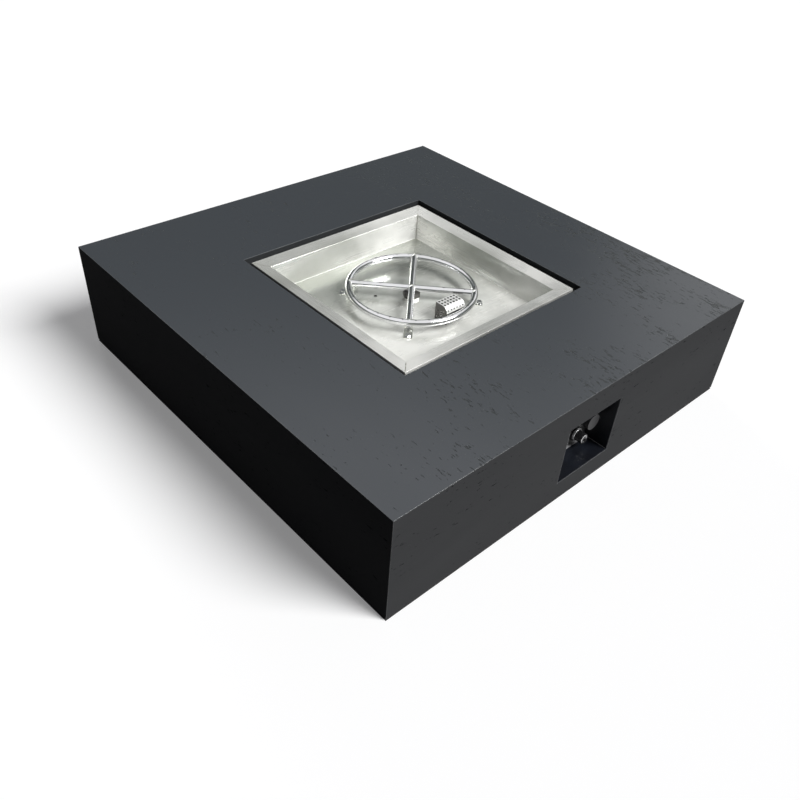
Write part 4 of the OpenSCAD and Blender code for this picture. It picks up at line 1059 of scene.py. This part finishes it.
SPARK_START = tail_end("electrode_insulator") - UP * ELECTRODE_TAIL
SPARK_END = Vector((0.046, -0.4095, 0.0775))
SPARK_ROUTE = [
    SPARK_START,
    SPARK_START + Vector((0, 0, -0.014)),
    SPARK_START + Vector((-0.006, -0.034, -0.048)),
    SPARK_START + Vector((-0.004, -0.110, -0.084)),
    SPARK_END + Vector((-0.018, 0.090, 0.002)),
    SPARK_END + Vector((-0.004, 0.040, 0)),
    SPARK_END + Vector((0, 0.018, 0)),
    SPARK_END,
]
PROBE_START = tail_end("thermocouple_probe")
PROBE_END = Vector((0.046, -0.436, 0.1535))
PROBE_ROUTE = [
    PROBE_START,
    PROBE_START + Vector((0, 0, -0.012)),
    PROBE_START + Vector((0.002, -0.030, -0.034)),
    PROBE_START + Vector((0.004, -0.110, -0.040)),
    PROBE_END + Vector((-0.004, 0.110, 0.004)),
    PROBE_END + Vector((-0.002, 0.046, 0.034)),
    PROBE_END + Vector((0, 0.012, 0.040)),
    PROBE_END + Vector((0, 0, 0.026)),
    PROBE_END + Vector((0, 0, 0.013)),
    PROBE_END,
]
SILICONE_LIGHT = (0.40, 0.04, 0.03)
SILICONE_DARK = (0.28, 0.02, 0.015)
silicone = skin_finish("silicone_sleeve", SILICONE_LIGHT, SILICONE_DARK, 900.0, (0.45, 0.6), 0.0001)
spark_lead = tubes_along("ignition_lead_sleeve", [SPARK_ROUTE], IGNITION_D, silicone)
stand_for(spark_lead, "lead_silicone", "ignition_lead")
probe_lead = tubes_along("thermocouple_lead_tube", [PROBE_ROUTE], THERMOCOUPLE_D, copper)
stand_for(probe_lead, "probe_copper", "thermocouple_lead")

# Control box: four walls of black powder-coated sheet that line the hand hole, with a flange screwed
# behind the front panel. A grey painted plate with a folded lip closes its back and carries the controls.
# A pale line is laid along the box's lower folds, and the plate's lip is painted pale as painted light where
# the lamp falls on it.
BOX_SHEET = 0.0015
FOLD_W = 0.0016
FOLD_START = 0.006
COAT_LIGHT = (0.008, 0.010, 0.015)
COAT_DARK = (0.005, 0.006, 0.009)
PLATE_LIGHT = (0.15, 0.15, 0.15)
PLATE_DARK = (0.115, 0.116, 0.118)
PALE_LINE = (0.34, 0.34, 0.35)
LIT_LIP_H = 0.010
LIT_LIP_DEPTH = 0.8
powder_coat = skin_finish("powder_coat", COAT_LIGHT, COAT_DARK, 1100.0, (0.28, 0.40), 0.00006)
plate_grey = skin_finish("plate_grey", PLATE_LIGHT, PLATE_DARK, 1400.0, (0.35, 0.5), 0.00004)
fold_x = (hand_high.x - hand_low.x) / 2 - BOX_CLEAR - BOX_SHEET
z_fold = hand_low.z + BOX_CLEAR + BOX_SHEET


def over_box_floor(tree):
    """Height over the box's floor"""
    return add_math(tree, "SUBTRACT", object_axes(tree)["Z"], z_fold)


def from_box_folds(tree):
    """Distance from the two lower folds inside the box, clear of its front edge"""
    part = object_axes(tree)
    aside = add_math(tree, "SUBTRACT", part["X"], (hand_low.x + hand_high.x) / 2)
    short = add_math(tree, "SUBTRACT", add_math(tree, "ABSOLUTE", aside), fold_x)
    near_front = remap(tree, part["Y"], -half_w, FOLD_START - half_w, FOLD_W, 0.0)
    return add_math(tree, "ADD", add_hypot(tree, short, over_box_floor(tree)), near_front)


tree = powder_coat.node_tree
# A pale line along the box's two lower folds.
pale_fold_line = remap(tree, from_box_folds(tree), FOLD_W / 2, FOLD_W, 1.0, 0.0)
overlay(powder_coat, pale_fold_line, PALE_LINE, roughness=0.5, metallic=0.0)
tree = plate_grey.node_tree
# The plate's lip is painted pale: painted light where the lamp falls on it.
lip_painted_light = remap(tree, over_box_floor(tree), BOX_SHEET, LIT_LIP_H, LIT_LIP_DEPTH, 0.0)
overlay(plate_grey, lip_painted_light, PALE_LINE, roughness=0.5, metallic=0.0)
dress(powder_coat, "control_box")
dress(plate_grey, "control_plate")
dress(zinc, "control_box_screws")

# Gas control: a die-cast valve clamped to the box by a bonnet nut, with a brass inlet, a sprung
# plunger and a spindle that carries the knob.
CAST_LIGHT = (0.58, 0.57, 0.54)
CAST_DARK = (0.42, 0.41, 0.38)
KNOB_LIGHT = (0.027, 0.027, 0.029)
KNOB_DARK = (0.022, 0.022, 0.024)
WIRE_SIDES = 10
TURN_STEPS = 24
COIL_SEAT = 0.6
cast_metal = skin_finish("die_cast", CAST_LIGHT, CAST_DARK, 700.0, (0.38, 0.55), 0.0001, Metallic=1.0)
knob_grey = skin_finish("knob_grey", KNOB_LIGHT, KNOB_DARK, 1600.0, (0.4, 0.5), 0.00003, Metallic=0.2)
dress(cast_metal, "valve_body", "valve_spindle")
dress(brass, "valve_inlet", "valve_plunger")
dress(zinc, "bonnet_nut")
dress(wire, "knob_set_screw")


def coil_spring(name, node, wire_d, turns):
    """A round wire coil in the place of a CAD spring, along Y"""
    low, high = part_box(node)
    middle = (low + high) / 2
    seat = COIL_SEAT * wire_d
    mean_r = (high.x - low.x - wire_d) / 2
    spring = new_piece(name, bpy.ops.mesh.primitive_circle_add, wire, vertices=WIRE_SIDES, radius=wire_d / 2,
                       location=(mean_r, 0, 0), rotation=(math.radians(90), 0, 0))
    apply_modifier(spring, "SCREW", screw_offset=(high.y - low.y - 2 * seat) / turns, iterations=turns,
                   steps=TURN_STEPS, render_steps=TURN_STEPS)
    spring.location = (middle.x, low.y + seat, middle.z)
    spring.rotation_euler = (math.radians(-90), 0, 0)
    bpy.ops.object.transform_apply(location=True, rotation=True, scale=True)
    close_ends(spring)
    close_up(spring, ROUND_UNDER)
    stand_for(spring, "spring_steel", node)


coil_spring("valve_spring_coil", "valve_spring", wire_d=0.0012, turns=5)
dress(knob_grey, "control_knob")

# Igniter: a black moulded housing held by a ring nut, with a bright trim ring, a barrel with a
# bright bezel, a push button on a spring, and a battery.
PLASTIC_LIGHT = (0.016, 0.016, 0.017)
PLASTIC_DARK = (0.010, 0.010, 0.011)
CHROME_LIGHT = (0.86, 0.86, 0.87)
CHROME_DARK = (0.76, 0.76, 0.77)
SLEEVE_LIGHT = (0.22, 0.23, 0.24)
SLEEVE_DARK = (0.14, 0.15, 0.16)
RING_SIDES = 64
LIP_UNDER = 40
moulded_black = skin_finish("moulded_black", PLASTIC_LIGHT, PLASTIC_DARK, 1300.0, (0.22, 0.34), 0.00004)
chrome = skin_finish("chrome", CHROME_LIGHT, CHROME_DARK, 2600.0, (0.14, 0.2), 0.000005, Metallic=0.6)
sleeve = skin_finish("battery_sleeve", SLEEVE_LIGHT, SLEEVE_DARK, 1500.0, (0.3, 0.4), 0.00002)
dress(moulded_black, "igniter_housing", "igniter_cap", "igniter_ring_nut", "igniter_button")
dress(sleeve, "igniter_battery")
coil_spring("igniter_spring_coil", "igniter_spring", wire_d=0.0010, turns=3)


def turned_ring(name, node, bore_d, lip):
    """A bright ring about Y, turned with a rounded front, in the place of a CAD ring"""
    low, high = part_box(node)
    middle = (low + high) / 2
    radius = (high.x - low.x) / 2
    ring = new_piece(name, bpy.ops.mesh.primitive_cylinder_add, chrome, vertices=RING_SIDES, radius=radius,
                     depth=high.y - low.y, location=middle, rotation=(math.radians(90), 0, 0))
    pick(ring, "FACE", lambda face: abs(face.normal.y) > 0.9)
    bpy.ops.mesh.inset(thickness=radius - bore_d / 2)
    bpy.ops.mesh.bridge_edge_loops()
    put_down()

    def on_rim(a, b):
        out_a = math.hypot(a.x - middle.x, a.z - middle.z)
        out_b = math.hypot(b.x - middle.x, b.z - middle.z)
        return max(a.y, b.y) < low.y + TOUCH and abs(out_a - out_b) < TOUCH

    ease_edges(ring, on_rim, lip, 4)
    close_up(ring, LIP_UNDER)
    stand_for(ring, "igniter_chrome", node)


turned_ring("trim_ring_turned", "igniter_trim_ring", bore_d=0.0243, lip=0.0016)
turned_ring("bezel_turned", "igniter_bezel", bore_d=0.0091, lip=0.0022)
